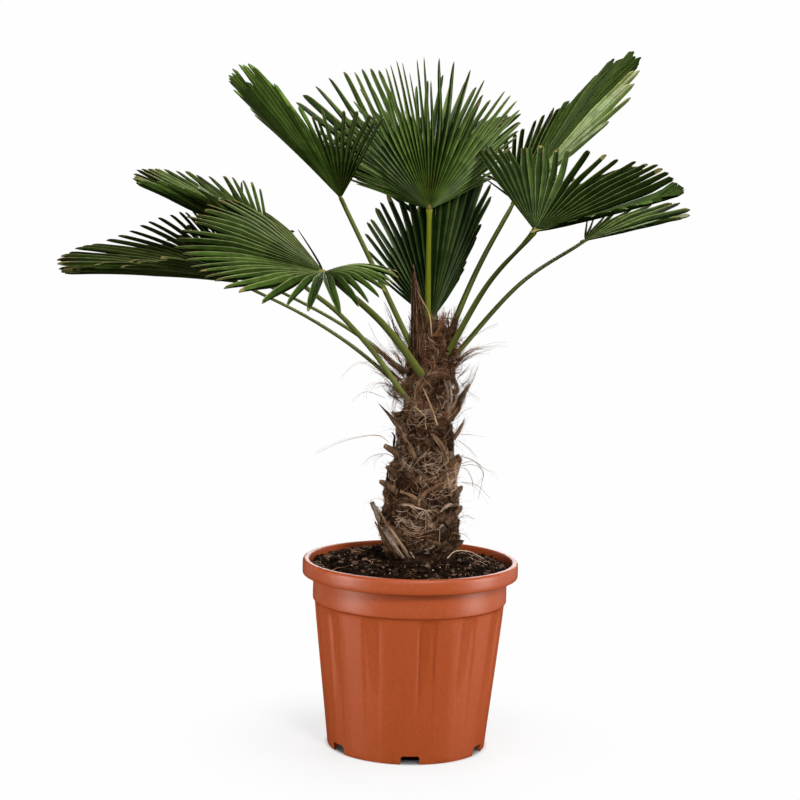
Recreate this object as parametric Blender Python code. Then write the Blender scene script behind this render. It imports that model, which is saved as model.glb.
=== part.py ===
"""A windmill palm in a round nursery pot: pot, soil, trunk, leaf stalks and fans.

Metres, +Z up. The origin is the middle of the pot's flat underside, the viewer
stands towards -Y. A fan is a thin pleated blade that turns round its hub: each
side of the midrib is a plate of its own, with a lobe for every few segments.
"""

import math

import bmesh
import bpy
from mathutils import Vector

for old in list(bpy.data.objects):
    bpy.data.objects.remove(old, do_unlink=True)

# ---------------------------------------------------------------- sizes
GAP = 0.0003  # between pieces that touch

POT_SIDES = 40
POT_RIM_RADIUS = 0.160
POT_HEIGHT = 0.2794
POT_RIM_DEPTH = 0.0228
POT_COLLAR_RADIUS = 0.144
POT_COLLAR_BOTTOM = 0.2187
POT_FOOT_RADIUS = 0.1176
POT_BODY_TOP_RADIUS = 0.1413
POT_WALL = 0.0025
POT_DISC_RADIUS = 0.095
POT_GROOVE_HEIGHT = 0.0145
NOTCH_COUNT = 6
NOTCH_WIDTH = 0.0276
NOTCH_HEIGHT = 0.0128
NOTCH_FIRST_DEG = -87.0

SOIL_MOUND_RADIUS = 0.088
SOIL_MOUND_TOP = 0.2830
SOIL_EDGE_TOP = 0.2680

TRUNK_FOOT = 0.2833
TRUNK_TIP = 0.612
TRUNK_SIDES = 18
# height of a section, its radius and the place of its middle across the view
TRUNK_SECTIONS = (
    (0.2833, 0.0720, 0.0135),
    (0.2920, 0.0680, 0.0135),
    (0.3060, 0.0640, 0.0136),
    (0.3650, 0.0595, 0.0143),
    (0.4000, 0.0540, 0.0152),
    (0.4380, 0.0485, 0.0165),
    (0.4940, 0.0415, 0.0180),
    (0.5510, 0.0365, 0.0205),
    (0.5950, 0.0320, 0.0225),
    (TRUNK_TIP, 0.0295, 0.0222),
)

STALK_BASE_WIDTH = 0.0125
STALK_BASE_DEPTH = 0.0085
STALK_HUB_WIDTH = 0.0088
STALK_HUB_DEPTH = 0.0066
STALK_SIDES = 8
STALK_STEPS = 6
STALK_STOPS_SHORT = 0.0105  # of the hub

BLADE = 0.0024  # thickness of a fan's plate
HUB_CLEAR = 0.0092  # bare ring round the hub
LOBE_DEG = 11.0  # spread of one lobe
NOTCH_AT = 0.60  # where two lobes part, as a share of their length
RING_AT = 0.32


# ---------------------------------------------------------------- helpers
def material(name, colour, roughness, metallic=0.0):
    made = bpy.data.materials.new(name)
    made.use_nodes = True
    shader = made.node_tree.nodes["Principled BSDF"]
    shader.inputs["Base Color"].default_value = (*colour, 1.0)
    shader.inputs["Roughness"].default_value = roughness
    shader.inputs["Metallic"].default_value = metallic
    return made


def new_object(name, bm, mat, smooth_deg=None):
    bmesh.ops.recalc_face_normals(bm, faces=bm.faces)
    mesh = bpy.data.meshes.new(name)
    bm.to_mesh(mesh)
    bm.free()
    mesh.materials.append(mat)
    if smooth_deg is not None:
        mesh.shade_smooth()
        mesh.set_sharp_from_angle(angle=math.radians(smooth_deg))
    made = bpy.data.objects.new(name, mesh)
    bpy.context.scene.collection.objects.link(made)
    return made


def helper(made):
    made.hide_render = True
    made.display_type = "WIRE"
    return made


def cut(target, cutter):
    modifier = target.modifiers.new("cut_" + cutter.name, "BOOLEAN")
    modifier.operation = "DIFFERENCE"
    modifier.solver = "EXACT"
    modifier.object = cutter


def lathe(bm, profile, sides):
    """Turns (radius, height) pairs round Z. The profile starts and ends on the axis."""
    rings = []
    for radius, height in profile:
        if radius == 0.0:
            rings.append([bm.verts.new((0.0, 0.0, height))])
            continue
        rings.append(
            [
                bm.verts.new(
                    (
                        radius * math.cos(math.tau * i / sides),
                        radius * math.sin(math.tau * i / sides),
                        height,
                    )
                )
                for i in range(sides)
            ]
        )
    for low, high in zip(rings, rings[1:]):
        for i in range(sides):
            j = (i + 1) % sides
            if len(low) == 1:
                bm.faces.new((low[0], high[j], high[i]))
            elif len(high) == 1:
                bm.faces.new((low[i], low[j], high[0]))
            else:
                bm.faces.new((low[i], low[j], high[j], high[i]))


def tube(bm, rings):
    """Skins closed rings of points one after another and caps both ends."""
    loops = [[bm.verts.new(p) for p in ring] for ring in rings]
    count = len(loops[0])
    for low, high in zip(loops, loops[1:]):
        for i in range(count):
            j = (i + 1) % count
            bm.faces.new((low[i], low[j], high[j], high[i]))
    bm.faces.new(loops[0][::-1])
    bm.faces.new(loops[-1])


# ---------------------------------------------------------------- pot and soil
def pot_profile():
    """Up the outside from the underside's middle, over the rim and down the inside."""
    groove = POT_GROOVE_HEIGHT
    rim_low = POT_HEIGHT - POT_RIM_DEPTH
    foot_ring_inner = POT_FOOT_RADIUS - 0.0050
    slope = (POT_BODY_TOP_RADIUS - POT_FOOT_RADIUS) / POT_COLLAR_BOTTOM
    floor_top = groove + POT_WALL
    return (
        (0.0, 0.0),
        (POT_DISC_RADIUS, 0.0),
        (POT_DISC_RADIUS + 0.0015, groove),
        (foot_ring_inner, groove),
        (foot_ring_inner + 0.0005, 0.0),
        (POT_FOOT_RADIUS, 0.0),
        (POT_BODY_TOP_RADIUS, POT_COLLAR_BOTTOM),
        (POT_COLLAR_RADIUS, POT_COLLAR_BOTTOM + 0.0015),
        (POT_COLLAR_RADIUS, rim_low),
        (POT_RIM_RADIUS - 0.0010, rim_low),
        (POT_RIM_RADIUS, rim_low + 0.0015),
        (POT_RIM_RADIUS, POT_HEIGHT - 0.0030),
        (POT_RIM_RADIUS - 0.0020, POT_HEIGHT),
        (0.1525, POT_HEIGHT),
        (0.1508, POT_HEIGHT - 0.0012),
        (0.1490, 0.2660),
        (POT_COLLAR_RADIUS - POT_WALL, 0.2540),
        (POT_COLLAR_RADIUS - POT_WALL, 0.2225),
        (POT_BODY_TOP_RADIUS - POT_WALL, 0.2160),
        (POT_FOOT_RADIUS + slope * floor_top - POT_WALL, floor_top),
        (POT_DISC_RADIUS - POT_WALL + 0.0015, floor_top),
        (POT_DISC_RADIUS - POT_WALL, POT_WALL),
        (0.0, POT_WALL),
    )


def soil_profile():
    """The pot's inside shrunk by the gap, and a low mound on top."""
    inside = pot_profile()[-8:]
    rows = [(0.0, POT_WALL + GAP)]
    for radius, height in reversed(inside[1:-1]):
        rows.append((radius - 1.3 * GAP, height + (GAP if height < 0.05 else 0.0)))
    rows.append((0.1490 - 1.3 * GAP, 0.2660))
    rows.append((0.1492 - 1.3 * GAP, SOIL_EDGE_TOP))
    rows.append((SOIL_MOUND_RADIUS, SOIL_MOUND_TOP))
    rows.append((0.0, SOIL_MOUND_TOP))
    return rows


def notch_cutters():
    """Arched blocks through the foot ring, into the groove behind it."""
    bm = bmesh.new()
    half = NOTCH_WIDTH / 2
    corner = 0.0045
    outline = [(-half, -0.004), (half, -0.004)]
    for k in range(5):
        a = math.radians(90 * k / 4)
        outline.append(
            (
                half - corner + corner * math.cos(a),
                NOTCH_HEIGHT - corner + corner * math.sin(a),
            )
        )
    for k in range(5):
        a = math.radians(90 + 90 * k / 4)
        outline.append(
            (
                -half + corner + corner * math.cos(a),
                NOTCH_HEIGHT - corner + corner * math.sin(a),
            )
        )
    for n in range(NOTCH_COUNT):
        turn = math.radians(NOTCH_FIRST_DEG + 360 * n / NOTCH_COUNT)
        out = Vector((math.cos(turn), math.sin(turn), 0))
        side = Vector((-math.sin(turn), math.cos(turn), 0))
        tube(
            bm,
            [
                [out * reach + side * x + Vector((0, 0, z)) for x, z in outline]
                for reach in (0.1045, 0.1290)
            ],
        )
    return bm


# ---------------------------------------------------------------- trunk
def trunk_section(height):
    """Radius and middle of the trunk at a height."""
    rows = TRUNK_SECTIONS
    for low, high in zip(rows, rows[1:]):
        if height <= high[0]:
            t = (height - low[0]) / (high[0] - low[0])
            return (
                low[1] + (high[1] - low[1]) * t,
                low[2] + (high[2] - low[2]) * t,
            )
    return rows[-1][1], rows[-1][2]


def trunk_rings(grow=0.0):
    heights = [row[0] for row in TRUNK_SECTIONS]
    rings = []
    for n, height in enumerate(heights):
        radius, middle = trunk_section(height)
        if grow:
            height += (-grow if n == 0 else grow if n == len(heights) - 1 else 0.0)
        ring = []
        for i in range(TRUNK_SIDES):
            a = math.tau * i / TRUNK_SIDES
            # old leaf bases leave the stem slightly uneven, with three more marked sides
            uneven = 1 + 0.025 * math.cos(3 * a + 9 * height) * (1 if n else 0)
            r = radius * uneven + grow
            ring.append((middle + r * math.cos(a), r * math.sin(a), height))
        rings.append(ring)
    return rings


# ---------------------------------------------------------------- stalks
def smooth_path(waypoints, steps, short):
    """A curve through the waypoints, evenly stepped, that stops short of the last one."""
    w = [Vector(p) for p in waypoints]
    ends = [2 * w[0] - w[1], *w, 2 * w[-1] - w[-2]]
    fine = []
    for a, b, c, d in zip(ends, ends[1:], ends[2:], ends[3:]):
        for k in range(16):
            t = k / 16
            fine.append(
                0.5
                * (
                    2 * b
                    + (c - a) * t
                    + (2 * a - 5 * b + 4 * c - d) * t * t
                    + (3 * b - a - 3 * c + d) * t**3
                )
            )
    fine.append(w[-1])
    run = [0.0]
    for a, b in zip(fine, fine[1:]):
        run.append(run[-1] + (b - a).length)
    out = []
    for k in range(steps + 1):
        want = (run[-1] - short) * k / steps
        i = next((j for j in range(1, len(run)) if run[j] >= want - 1e-12), len(run) - 1)
        span = run[i] - run[i - 1]
        t = 0 if span == 0 else (want - run[i - 1]) / span
        out.append(fine[i - 1].lerp(fine[i], t))
    return out


def stalk(name, waypoints, mat, trunk_cutter):
    """One tapering leaf stalk, wider than deep, from inside the trunk to short of its hub."""
    path = smooth_path(waypoints, STALK_STEPS, STALK_STOPS_SHORT)
    rings = []
    side = None
    for n, point in enumerate(path):
        ahead = path[min(n + 1, len(path) - 1)] - path[max(n - 1, 0)]
        ahead.normalize()
        if side is None:
            side = ahead.cross(Vector((0, 0, 1)))
            if side.length < 0.2:
                side = Vector((1, 0, 0))
        side = (side - ahead * side.dot(ahead)).normalized()
        top = side.cross(ahead)
        t = n / (len(path) - 1)
        half_w = (STALK_BASE_WIDTH + (STALK_HUB_WIDTH - STALK_BASE_WIDTH) * t) / 2
        half_d = (STALK_BASE_DEPTH + (STALK_HUB_DEPTH - STALK_BASE_DEPTH) * t) / 2
        ring = []
        for i in range(STALK_SIDES):
            a = math.tau * (i + 0.5) / STALK_SIDES
            ring.append(point + side * half_w * math.cos(a) + top * half_d * math.sin(a))
        rings.append(ring)
    bm = bmesh.new()
    tube(bm, rings)
    made = new_object(name, bm, mat, 50)
    cut(made, trunk_cutter)
    return made


# ---------------------------------------------------------------- fans
class Fan:
    """A fan of segments round a hub.

    heading, rise and roll turn it; each side has its spread in degrees, its fold
    out of the flat at the midrib and at the outer edge, and the length of its
    segments half-way out and at the edge, as shares of the middle one's.
    """

    def __init__(self, hub, heading, rise, roll, length, right, left, droop):
        az, el, ro = (math.radians(v) for v in (heading, rise, roll))
        self.hub = Vector(hub)
        self.length = length
        self.droop = droop
        self.sides = {1: right, -1: left}
        self.ahead = Vector(
            (math.cos(el) * math.cos(az), math.cos(el) * math.sin(az), math.sin(el))
        )
        up = Vector(
            (-math.sin(el) * math.cos(az), -math.sin(el) * math.sin(az), math.cos(el))
        )
        across = self.ahead.cross(up)
        self.up = math.cos(ro) * up + math.sin(ro) * across
        self.across = self.ahead.cross(self.up)

    def reach(self, side, angle):
        spread, _, _, middle, edge = self.sides[side]
        q = angle / spread
        curve = 2 * (1 - 2 * middle + edge)
        return self.length * (1 + (edge - 1 - curve) * q + curve * q * q)

    def point(self, side, angle, along):
        spread, fold, edge_fold, _, _ = self.sides[side]
        a = math.radians(angle)
        w = math.radians(fold + (edge_fold - fold) * angle / spread)
        way = math.cos(a) * self.ahead + math.sin(a) * (
            math.cos(w) * side * self.across + math.sin(w) * self.up
        )
        sag = self.droop * along**2.2 * math.sqrt(max(0.0, 1 - way.z**2))
        return self.hub + self.reach(side, angle) * (
            along * way - Vector((0, 0, sag))
        )

    def facing(self, side, angle, along):
        spread = self.sides[side][0]
        lo, hi = max(0.0, angle - 1), min(spread, angle + 1)
        turn = self.point(side, hi, along) - self.point(side, lo, along)
        out = self.point(side, angle, along + 0.01) - self.point(
            side, angle, along - 0.01
        )
        return side * turn.cross(out).normalized()


def half_fan(name, fan, side, mat):
    """One side of a fan as a plate with pointed lobes."""
    spread, fold, _, _, _ = fan.sides[side]
    lobes = max(4, round(spread / LOBE_DEG))
    shift = side * fan.across * (BLADE / 2 * abs(math.sin(math.radians(fold))) + GAP)
    bm = bmesh.new()

    def pair(angle, along):
        middle = fan.point(side, angle, along) + shift
        off = fan.facing(side, angle, along) * BLADE / 2
        return bm.verts.new(middle + off), bm.verts.new(middle - off)

    angles = [spread * i / lobes for i in range(lobes + 1)]
    rows = [
        [pair(a, HUB_CLEAR / fan.reach(side, a)) for a in angles],
        [pair(a, RING_AT) for a in angles],
        [pair(a, NOTCH_AT) for a in angles],
    ]
    tips = [
        (
            pair(a + 0.30 * (b - a), 0.97),
            pair(a + 0.70 * (b - a), 0.97),
        )
        for a, b in zip(angles, angles[1:])
    ]
    for low, high in zip(rows, rows[1:]):
        for i in range(lobes):
            for s in (0, 1):
                bm.faces.new((low[i][s], low[i + 1][s], high[i + 1][s], high[i][s]))
        for i in (0, lobes):
            bm.faces.new((low[i][0], high[i][0], high[i][1], low[i][1]))
    for i in range(lobes):
        bm.faces.new((rows[0][i][0], rows[0][i + 1][0], rows[0][i + 1][1], rows[0][i][1]))
        a, d = rows[-1][i], rows[-1][i + 1]
        b, c = tips[i]
        for s in (0, 1):
            bm.faces.new((a[s], d[s], c[s], b[s]))
        for p, q in ((a, b), (b, c), (c, d)):
            bm.faces.new((p[0], q[0], q[1], p[1]))
    return new_object(name, bm, mat)


# ---------------------------------------------------------------- build
pot_mat = material("pot_plastic", (0.52, 0.13, 0.055), 0.45)
soil_mat = material("soil", (0.035, 0.022, 0.015), 0.95)
trunk_mat = material("trunk_fibre", (0.12, 0.075, 0.05), 0.9)
stalk_mat = material("leaf_stalk", (0.09, 0.16, 0.035), 0.5)
fan_mat = material("fan_green", (0.022, 0.060, 0.018), 0.45)

bm = bmesh.new()
lathe(bm, pot_profile(), POT_SIDES)
pot = new_object("pot", bm, pot_mat, 40)
cut(pot, helper(new_object("notch_cutters", notch_cutters(), pot_mat)))

bm = bmesh.new()
lathe(bm, soil_profile(), POT_SIDES)
new_object("soil", bm, soil_mat, 40)

bm = bmesh.new()
tube(bm, trunk_rings())
new_object("trunk", bm, trunk_mat, 50)
bm = bmesh.new()
tube(bm, trunk_rings(grow=GAP))
trunk_cutter = helper(new_object("trunk_clearance", bm, trunk_mat))

# Each leaf: its fan, and the way its stalk takes from inside the trunk to the hub.
LEAVES = {
    "front_centre": (
        Fan((0.013, -0.076, 0.798), -93, 61, -1, 0.239,
            (94, 10, 39, 0.81, 0.61), (91, 6, 51, 0.80, 0.62), 0.03),
        ((0.020, -0.008, 0.600), (0.016, -0.022, 0.640), (0.014, -0.055, 0.720)),
    ),
    "upper_left": (
        Fan((-0.113, -0.060, 0.810), 204, 48, 8, 0.247,
            (53, 11, 20, 0.94, 0.94), (64, 8, 7, 0.71, 1.02), 0.05),
        ((0.012, -0.006, 0.575), (-0.009, -0.021, 0.604), (-0.050, -0.036, 0.685)),
    ),
    "left_middle": (
        Fan((-0.225, 0.083, 0.725), -153, 31, 0, 0.245,
            (84, 6, 39, 0.95, 0.78), (87, 6, 10, 0.90, 0.72), 0.11),
        ((0.006, -0.010, 0.500), (-0.026, -0.026, 0.541), (-0.060, -0.022, 0.587),
         (-0.113, 0.010, 0.640), (-0.167, 0.045, 0.678)),
    ),
    "left_far": (
        Fan((-0.262, 0.017, 0.682), -169, 8, 5, 0.262,
            (76, 4, 36, 1.07, 0.87), (65, 4, 9, 0.93, 0.79), 0.10),
        ((0.006, 0.000, 0.514), (-0.030, 0.004, 0.544), (-0.069, 0.004, 0.5765),
         (-0.114, 0.004, 0.6085), (-0.175, 0.008, 0.643)),
    ),
    "left_front": (
        Fan((-0.130, -0.188, 0.710), -138, 11, -40, 0.251,
            (102, 6, -8, 0.66, 0.51), (149, -4, 63, 0.70, 0.37), 0.04),
        ((0.014, -0.014, 0.540), (0.006, -0.040, 0.562), (-0.050, -0.095, 0.636)),
    ),
    "centre": (
        Fan((0.0209, 0.0002, 0.6355), -93.5, 74, 2.6, 0.255,
            (67, 41, 35, 0.74, 0.48), (70, 41, 64, 0.90, 0.40), -0.02),
        ((0.0222, 0.0000, 0.594), (0.0216, 0.0001, 0.613)),
    ),
    "upper_right": (
        Fan((0.141, 0.067, 0.813), 21, 50, -15, 0.299,
            (45, 0, -10, 0.92, 0.67), (79, -2, 22, 0.98, 0.40), 0.0),
        ((0.034, 0.002, 0.565), (0.046, 0.006, 0.610), (0.087, 0.032, 0.7105)),
    ),
    "right_front": (
        Fan((0.155, -0.211, 0.773), 13, 14, 21, 0.224,
            (92, 23, 24, 0.85, 0.74), (97, 26, 17, 0.74, 0.81), -0.05),
        ((0.028, -0.006, 0.560), (0.047, -0.022, 0.593), (0.098, -0.105, 0.696)),
    ),
    "right_far": (
        Fan((0.253, 0.115, 0.755), 21, 13, 4, 0.183,
            (82, 12, 11, 0.94, 0.60), (61, 13, 5, 1.04, 0.64), -0.01),
        ((0.036, 0.010, 0.555), (0.065, 0.026, 0.591), (0.154, 0.065, 0.690)),
    ),
    "back_centre": (
        Fan((0.003, 0.140, 0.799), 108, 57, -24, 0.275,
            (101, 25, 37, 0.90, 0.62), (90, 12, 52, 0.92, 0.68), 0.03),
        ((0.020, 0.008, 0.600), (0.014, 0.026, 0.640), (0.008, 0.080, 0.720)),
    ),
    "back_high": (
        Fan((0.016, 0.222, 0.839), 84, 29, 11, 0.250,
            (79, 27, 51, 0.81, 0.53), (96, 23, 9, 0.81, 0.58), 0.12),
        ((0.026, 0.008, 0.570), (0.026, 0.034, 0.622), (0.024, 0.120, 0.722)),
    ),
    "back_right": (
        Fan((0.187, 0.168, 0.796), 50, 12, 3, 0.240,
            (92, 34, 34, 0.74, 0.51), (68, 19, 17, 0.93, 0.84), 0.10),
        ((0.032, 0.014, 0.545), (0.0462, 0.020, 0.5874), (0.0607, 0.040, 0.6111),
         (0.109, 0.085, 0.6911), (0.1711, 0.140, 0.7625)),
    ),
    "back_left": (
        Fan((-0.264, 0.153, 0.689), 150, 8, -8, 0.235,
            (64, 19, 54, 0.85, 0.78), (57, 20, 13, 0.77, 0.67), 0.11),
        ((0.006, 0.008, 0.545), (-0.040, 0.020, 0.5765), (-0.090, 0.042, 0.611),
         (-0.157, 0.082, 0.645)),
    ),
    "back_low": (
        Fan((0.025, 0.186, 0.759), 75, 2, -2, 0.240,
            (56, 65, 70, 0.72, 0.57), (61, 25, 37, 0.83, 0.50), 0.07),
        ((0.018, 0.010, 0.530), (0.014, 0.040, 0.580), (0.020, 0.100, 0.668)),
    ),
}

for leaf, (fan, route) in LEAVES.items():
    stalk("stalk_" + leaf, (*route, fan.hub), stalk_mat, trunk_cutter)
    half_fan("fan_" + leaf + "_right", fan, 1, fan_mat)
    half_fan("fan_" + leaf + "_left", fan, -1, fan_mat)
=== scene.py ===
"""A small windmill palm in a terracotta-coloured nursery pot, on a pale floor."""

import math
import random

import bpy
import numpy as np
from mathutils import Matrix, Vector, noise


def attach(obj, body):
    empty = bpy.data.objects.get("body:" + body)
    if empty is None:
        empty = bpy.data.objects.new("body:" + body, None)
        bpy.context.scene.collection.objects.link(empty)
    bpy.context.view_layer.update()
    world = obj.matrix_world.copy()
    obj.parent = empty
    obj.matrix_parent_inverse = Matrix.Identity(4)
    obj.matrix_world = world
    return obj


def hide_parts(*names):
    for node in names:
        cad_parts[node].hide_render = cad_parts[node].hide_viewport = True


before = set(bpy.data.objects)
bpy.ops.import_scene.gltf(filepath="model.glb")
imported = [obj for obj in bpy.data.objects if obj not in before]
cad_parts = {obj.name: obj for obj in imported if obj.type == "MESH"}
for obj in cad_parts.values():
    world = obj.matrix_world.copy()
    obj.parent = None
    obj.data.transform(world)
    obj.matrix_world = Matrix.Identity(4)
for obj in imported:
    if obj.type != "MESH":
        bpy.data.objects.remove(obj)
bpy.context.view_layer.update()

# ------------------------------------------------------------------ camera
DISTANCE, EYE, ASIDE = 2.8, 0.817, -0.0216
PITCH, ROLL, FOCAL_PX = math.radians(6.13), math.radians(1.47), 1910.0

right = Vector((1, 0, 0))
ahead = Vector((0, math.cos(PITCH), -math.sin(PITCH)))
above = Vector((0, math.sin(PITCH), math.cos(PITCH)))
cam_x = right * math.cos(ROLL) + above * math.sin(ROLL)
cam_y = above * math.cos(ROLL) - right * math.sin(ROLL)
camera_data = bpy.data.cameras.new("camera")
camera_data.sensor_fit = "HORIZONTAL"
camera_data.sensor_width = 36.0
camera_data.lens = 36.0 * FOCAL_PX / 800.0
camera_data.clip_start = 0.05
camera = bpy.data.objects.new("camera", camera_data)
camera.matrix_world = Matrix(
    (
        (cam_x.x, cam_y.x, -ahead.x, ASIDE),
        (cam_x.y, cam_y.y, -ahead.y, -DISTANCE),
        (cam_x.z, cam_y.z, -ahead.z, EYE),
        (0, 0, 0, 1),
    )
)
bpy.context.scene.collection.objects.link(camera)
bpy.context.scene.camera = camera


def seen_at(x, y, depth):
    """The point at a picture place, in 800 pixel units, and at a depth along Y."""
    a, b = x - 400.0, y - 400.0
    c, s = math.cos(ROLL), math.sin(ROLL)
    p, q = a * c + b * s, -a * s + b * c
    way = ahead + right * (p / FOCAL_PX) - above * (q / FOCAL_PX)
    t = (depth + DISTANCE) / way.y
    return Vector((ASIDE, -DISTANCE, EYE)) + way * t


def seen_from_camera(p):
    """Where a point falls in the picture, in 800 pixel units."""
    d = p - Vector((ASIDE, -DISTANCE, EYE))
    z = d.dot(ahead)
    x, y = FOCAL_PX * d.dot(right) / z, -FOCAL_PX * d.dot(above) / z
    c, s = math.cos(ROLL), math.sin(ROLL)
    return 400 + x * c - y * s, 400 + x * s + y * c


# ------------------------------------------------------------------ materials
def principled(name, colour, roughness, specular=0.5, coat=0.0, sheen=0.0):
    mat = bpy.data.materials.new(name)
    mat.use_nodes = True
    shader = mat.node_tree.nodes["Principled BSDF"]
    shader.inputs["Base Color"].default_value = (*colour, 1.0)
    shader.inputs["Roughness"].default_value = roughness
    shader.inputs["Specular IOR Level"].default_value = specular
    shader.inputs["Coat Weight"].default_value = coat
    shader.inputs["Sheen Weight"].default_value = sheen
    return mat


def add_pattern(mat, dark, light, scale, detail=4.0, bump=0.0, distance=0.001,
                stretch=(1, 1, 1), rough=None, bump_scale=None):
    """Noise between two colours, with a matching bump and roughness."""
    tree = mat.node_tree
    shader = tree.nodes["Principled BSDF"]
    place = tree.nodes.new("ShaderNodeTexCoord")
    mapping = tree.nodes.new("ShaderNodeMapping")
    mapping.inputs["Scale"].default_value = stretch
    tree.links.new(place.outputs["Object"], mapping.inputs["Vector"])
    tex = tree.nodes.new("ShaderNodeTexNoise")
    tex.inputs["Scale"].default_value = scale
    tex.inputs["Detail"].default_value = detail
    tree.links.new(mapping.outputs["Vector"], tex.inputs["Vector"])
    ramp = tree.nodes.new("ShaderNodeValToRGB")
    ramp.color_ramp.elements[0].position = 0.35
    ramp.color_ramp.elements[0].color = (*dark, 1)
    ramp.color_ramp.elements[1].position = 0.65
    ramp.color_ramp.elements[1].color = (*light, 1)
    tree.links.new(tex.outputs["Fac"], ramp.inputs["Fac"])
    tree.links.new(ramp.outputs["Color"], shader.inputs["Base Color"])
    if rough is not None:
        span = tree.nodes.new("ShaderNodeMapRange")
        span.inputs["To Min"].default_value = rough[0]
        span.inputs["To Max"].default_value = rough[1]
        tree.links.new(tex.outputs["Fac"], span.inputs["Value"])
        tree.links.new(span.outputs["Result"], shader.inputs["Roughness"])
    if bump:
        source = tex
        if bump_scale is not None:
            source = tree.nodes.new("ShaderNodeTexNoise")
            source.inputs["Scale"].default_value = bump_scale
            source.inputs["Detail"].default_value = 5.0
            tree.links.new(mapping.outputs["Vector"], source.inputs["Vector"])
        node = tree.nodes.new("ShaderNodeBump")
        node.inputs["Strength"].default_value = bump
        node.inputs["Distance"].default_value = distance
        tree.links.new(source.outputs["Fac"], node.inputs["Height"])
        tree.links.new(node.outputs["Normal"], shader.inputs["Normal"])
    return mat


def leafy(name, colour, roughness=0.42, specular=0.5):
    mat = principled(name, colour, roughness, specular)
    dark = tuple(c * 0.78 for c in colour)
    light = tuple(min(1.0, c * 1.25) for c in colour)
    return add_pattern(mat, dark, light, 60.0, 3.0, bump=0.10, distance=0.0002,
                       rough=(roughness - 0.06, roughness + 0.10), bump_scale=900.0)


# leaf tones from deep to bright; the folds take the deep and dark ones as painted shade and the ridges the light ones
# as painted highlights
LEAF_LOOKS = (
    ("deep", (0.009, 0.020, 0.003), 0.55, 0.10),
    ("dark", (0.024, 0.047, 0.006), 0.46, 0.18),
    ("green", (0.046, 0.083, 0.012), 0.44, 0.20),
    ("light", (0.079, 0.126, 0.021), 0.46, 0.22),
    ("bright", (0.116, 0.164, 0.040), 0.48, 0.25),
    ("margin_and_highlight", (0.165, 0.200, 0.070), 0.50, 0.25),
    ("edge_pale", (0.235, 0.205, 0.085), 0.55, 0.25),
    ("inner", (0.125, 0.145, 0.024), 0.48, 0.25),
    ("tip_yellow", (0.190, 0.170, 0.050), 0.55, 0.25),
    ("tip_brown", (0.170, 0.100, 0.044), 0.65, 0.2),
    ("hub", (0.160, 0.125, 0.030), 0.5, 0.25),
    ("pale_sheen", (0.210, 0.255, 0.140), 0.45, 0.3),
)
made_leaf = {}


def leaf_lit_and_shaded_copies(painted_light_gain):
    """Lit and shaded copies of the leaf colours for one part of a leaf, darker or brighter by thirds of a stop: painted
    light and shade. The shaded copies are less glossy too.
    """
    step = round(3 * math.log2(painted_light_gain))
    if step not in made_leaf:
        body, pale = 2 ** (step / 3), 2 ** (step / 6)
        made_leaf[step] = [
            leafy("leaf_%s_%d" % (name, step + 9), tuple(c * (pale if n in (5, 6, 8, 9, 10, 11) else body) for c in colour),
                  rough, shine * min(1.0, body * body))
            for n, (name, colour, rough, shine) in enumerate(LEAF_LOOKS)]
    return made_leaf[step]


DEEP, DARK, GREEN, LIGHT, BRIGHT, MARGIN_AND_HIGHLIGHT, EDGE, INNER, TIP_YELLOW, TIP_BROWN, HUB, PALE_SHEEN = range(12)


def tone(level):
    return max(DEEP, min(BRIGHT, level))


STALK = [
    add_pattern(principled("stalk_green", (0.118, 0.138, 0.024), 0.48, 0.2), (0.100, 0.122, 0.018),
                (0.136, 0.154, 0.030), 12.0, 2.0, 0.0, 0.0003, (1, 1, 0.3), (0.44, 0.54)),
    add_pattern(principled("stalk_edge", (0.128, 0.146, 0.028), 0.5, 0.2), (0.112, 0.132, 0.022),
                (0.144, 0.160, 0.034), 12.0, 2.0, 0.0, 0.0003, (1, 1, 0.3), (0.46, 0.56)),
    add_pattern(principled("stalk_base", (0.13, 0.095, 0.045), 0.7, 0.1), (0.075, 0.060, 0.026),
                (0.17, 0.125, 0.065), 60.0, 4.0, 0.4, 0.0006, (1, 1, 0.3), (0.6, 0.85), 300.0),
    add_pattern(principled("stalk_yellow", (0.182, 0.208, 0.014), 0.5, 0.1), (0.160, 0.188, 0.010),
                (0.204, 0.228, 0.018), 12.0, 2.0, 0.0, 0.0003, (1, 1, 0.3), (0.46, 0.56)),
]
# the near-black bark material stands for fibre in shade: painted shade in the stem's hollows and under the crown
TRUNK = [
    add_pattern(principled("trunk_bark_and_shade", (0.024, 0.012, 0.006), 0.95, 0.03), (0.008, 0.004, 0.002),
                (0.046, 0.024, 0.013), 90.0, 8.0, 0.9, 0.002, (1, 1, 1), (0.9, 1.0), 260.0),
    add_pattern(principled("leaf_base", (0.150, 0.085, 0.048), 0.9, 0.05), (0.045, 0.024, 0.013),
                (0.260, 0.155, 0.092), 170.0, 9.0, 0.9, 0.0012, (1, 1, 0.25), (0.8, 0.95), 500.0),
    add_pattern(principled("leaf_base_grey", (0.140, 0.104, 0.078), 0.9, 0.05), (0.036, 0.024, 0.016),
                (0.250, 0.190, 0.145), 150.0, 9.0, 0.9, 0.0012, (1, 1, 0.3), (0.85, 0.95), 500.0),
    add_pattern(principled("leaf_base_dark", (0.066, 0.037, 0.021), 0.9, 0.05), (0.018, 0.009, 0.005),
                (0.130, 0.074, 0.042), 170.0, 9.0, 0.9, 0.0012, (1, 1, 0.25), (0.85, 0.95), 500.0),
    add_pattern(principled("straw", (0.400, 0.250, 0.130), 0.7, 0.2), (0.230, 0.135, 0.068),
                (0.520, 0.345, 0.190), 90.0, 6.0, 0.5, 0.0006, (1, 1, 0.3), (0.6, 0.85), 400.0),
]
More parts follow.
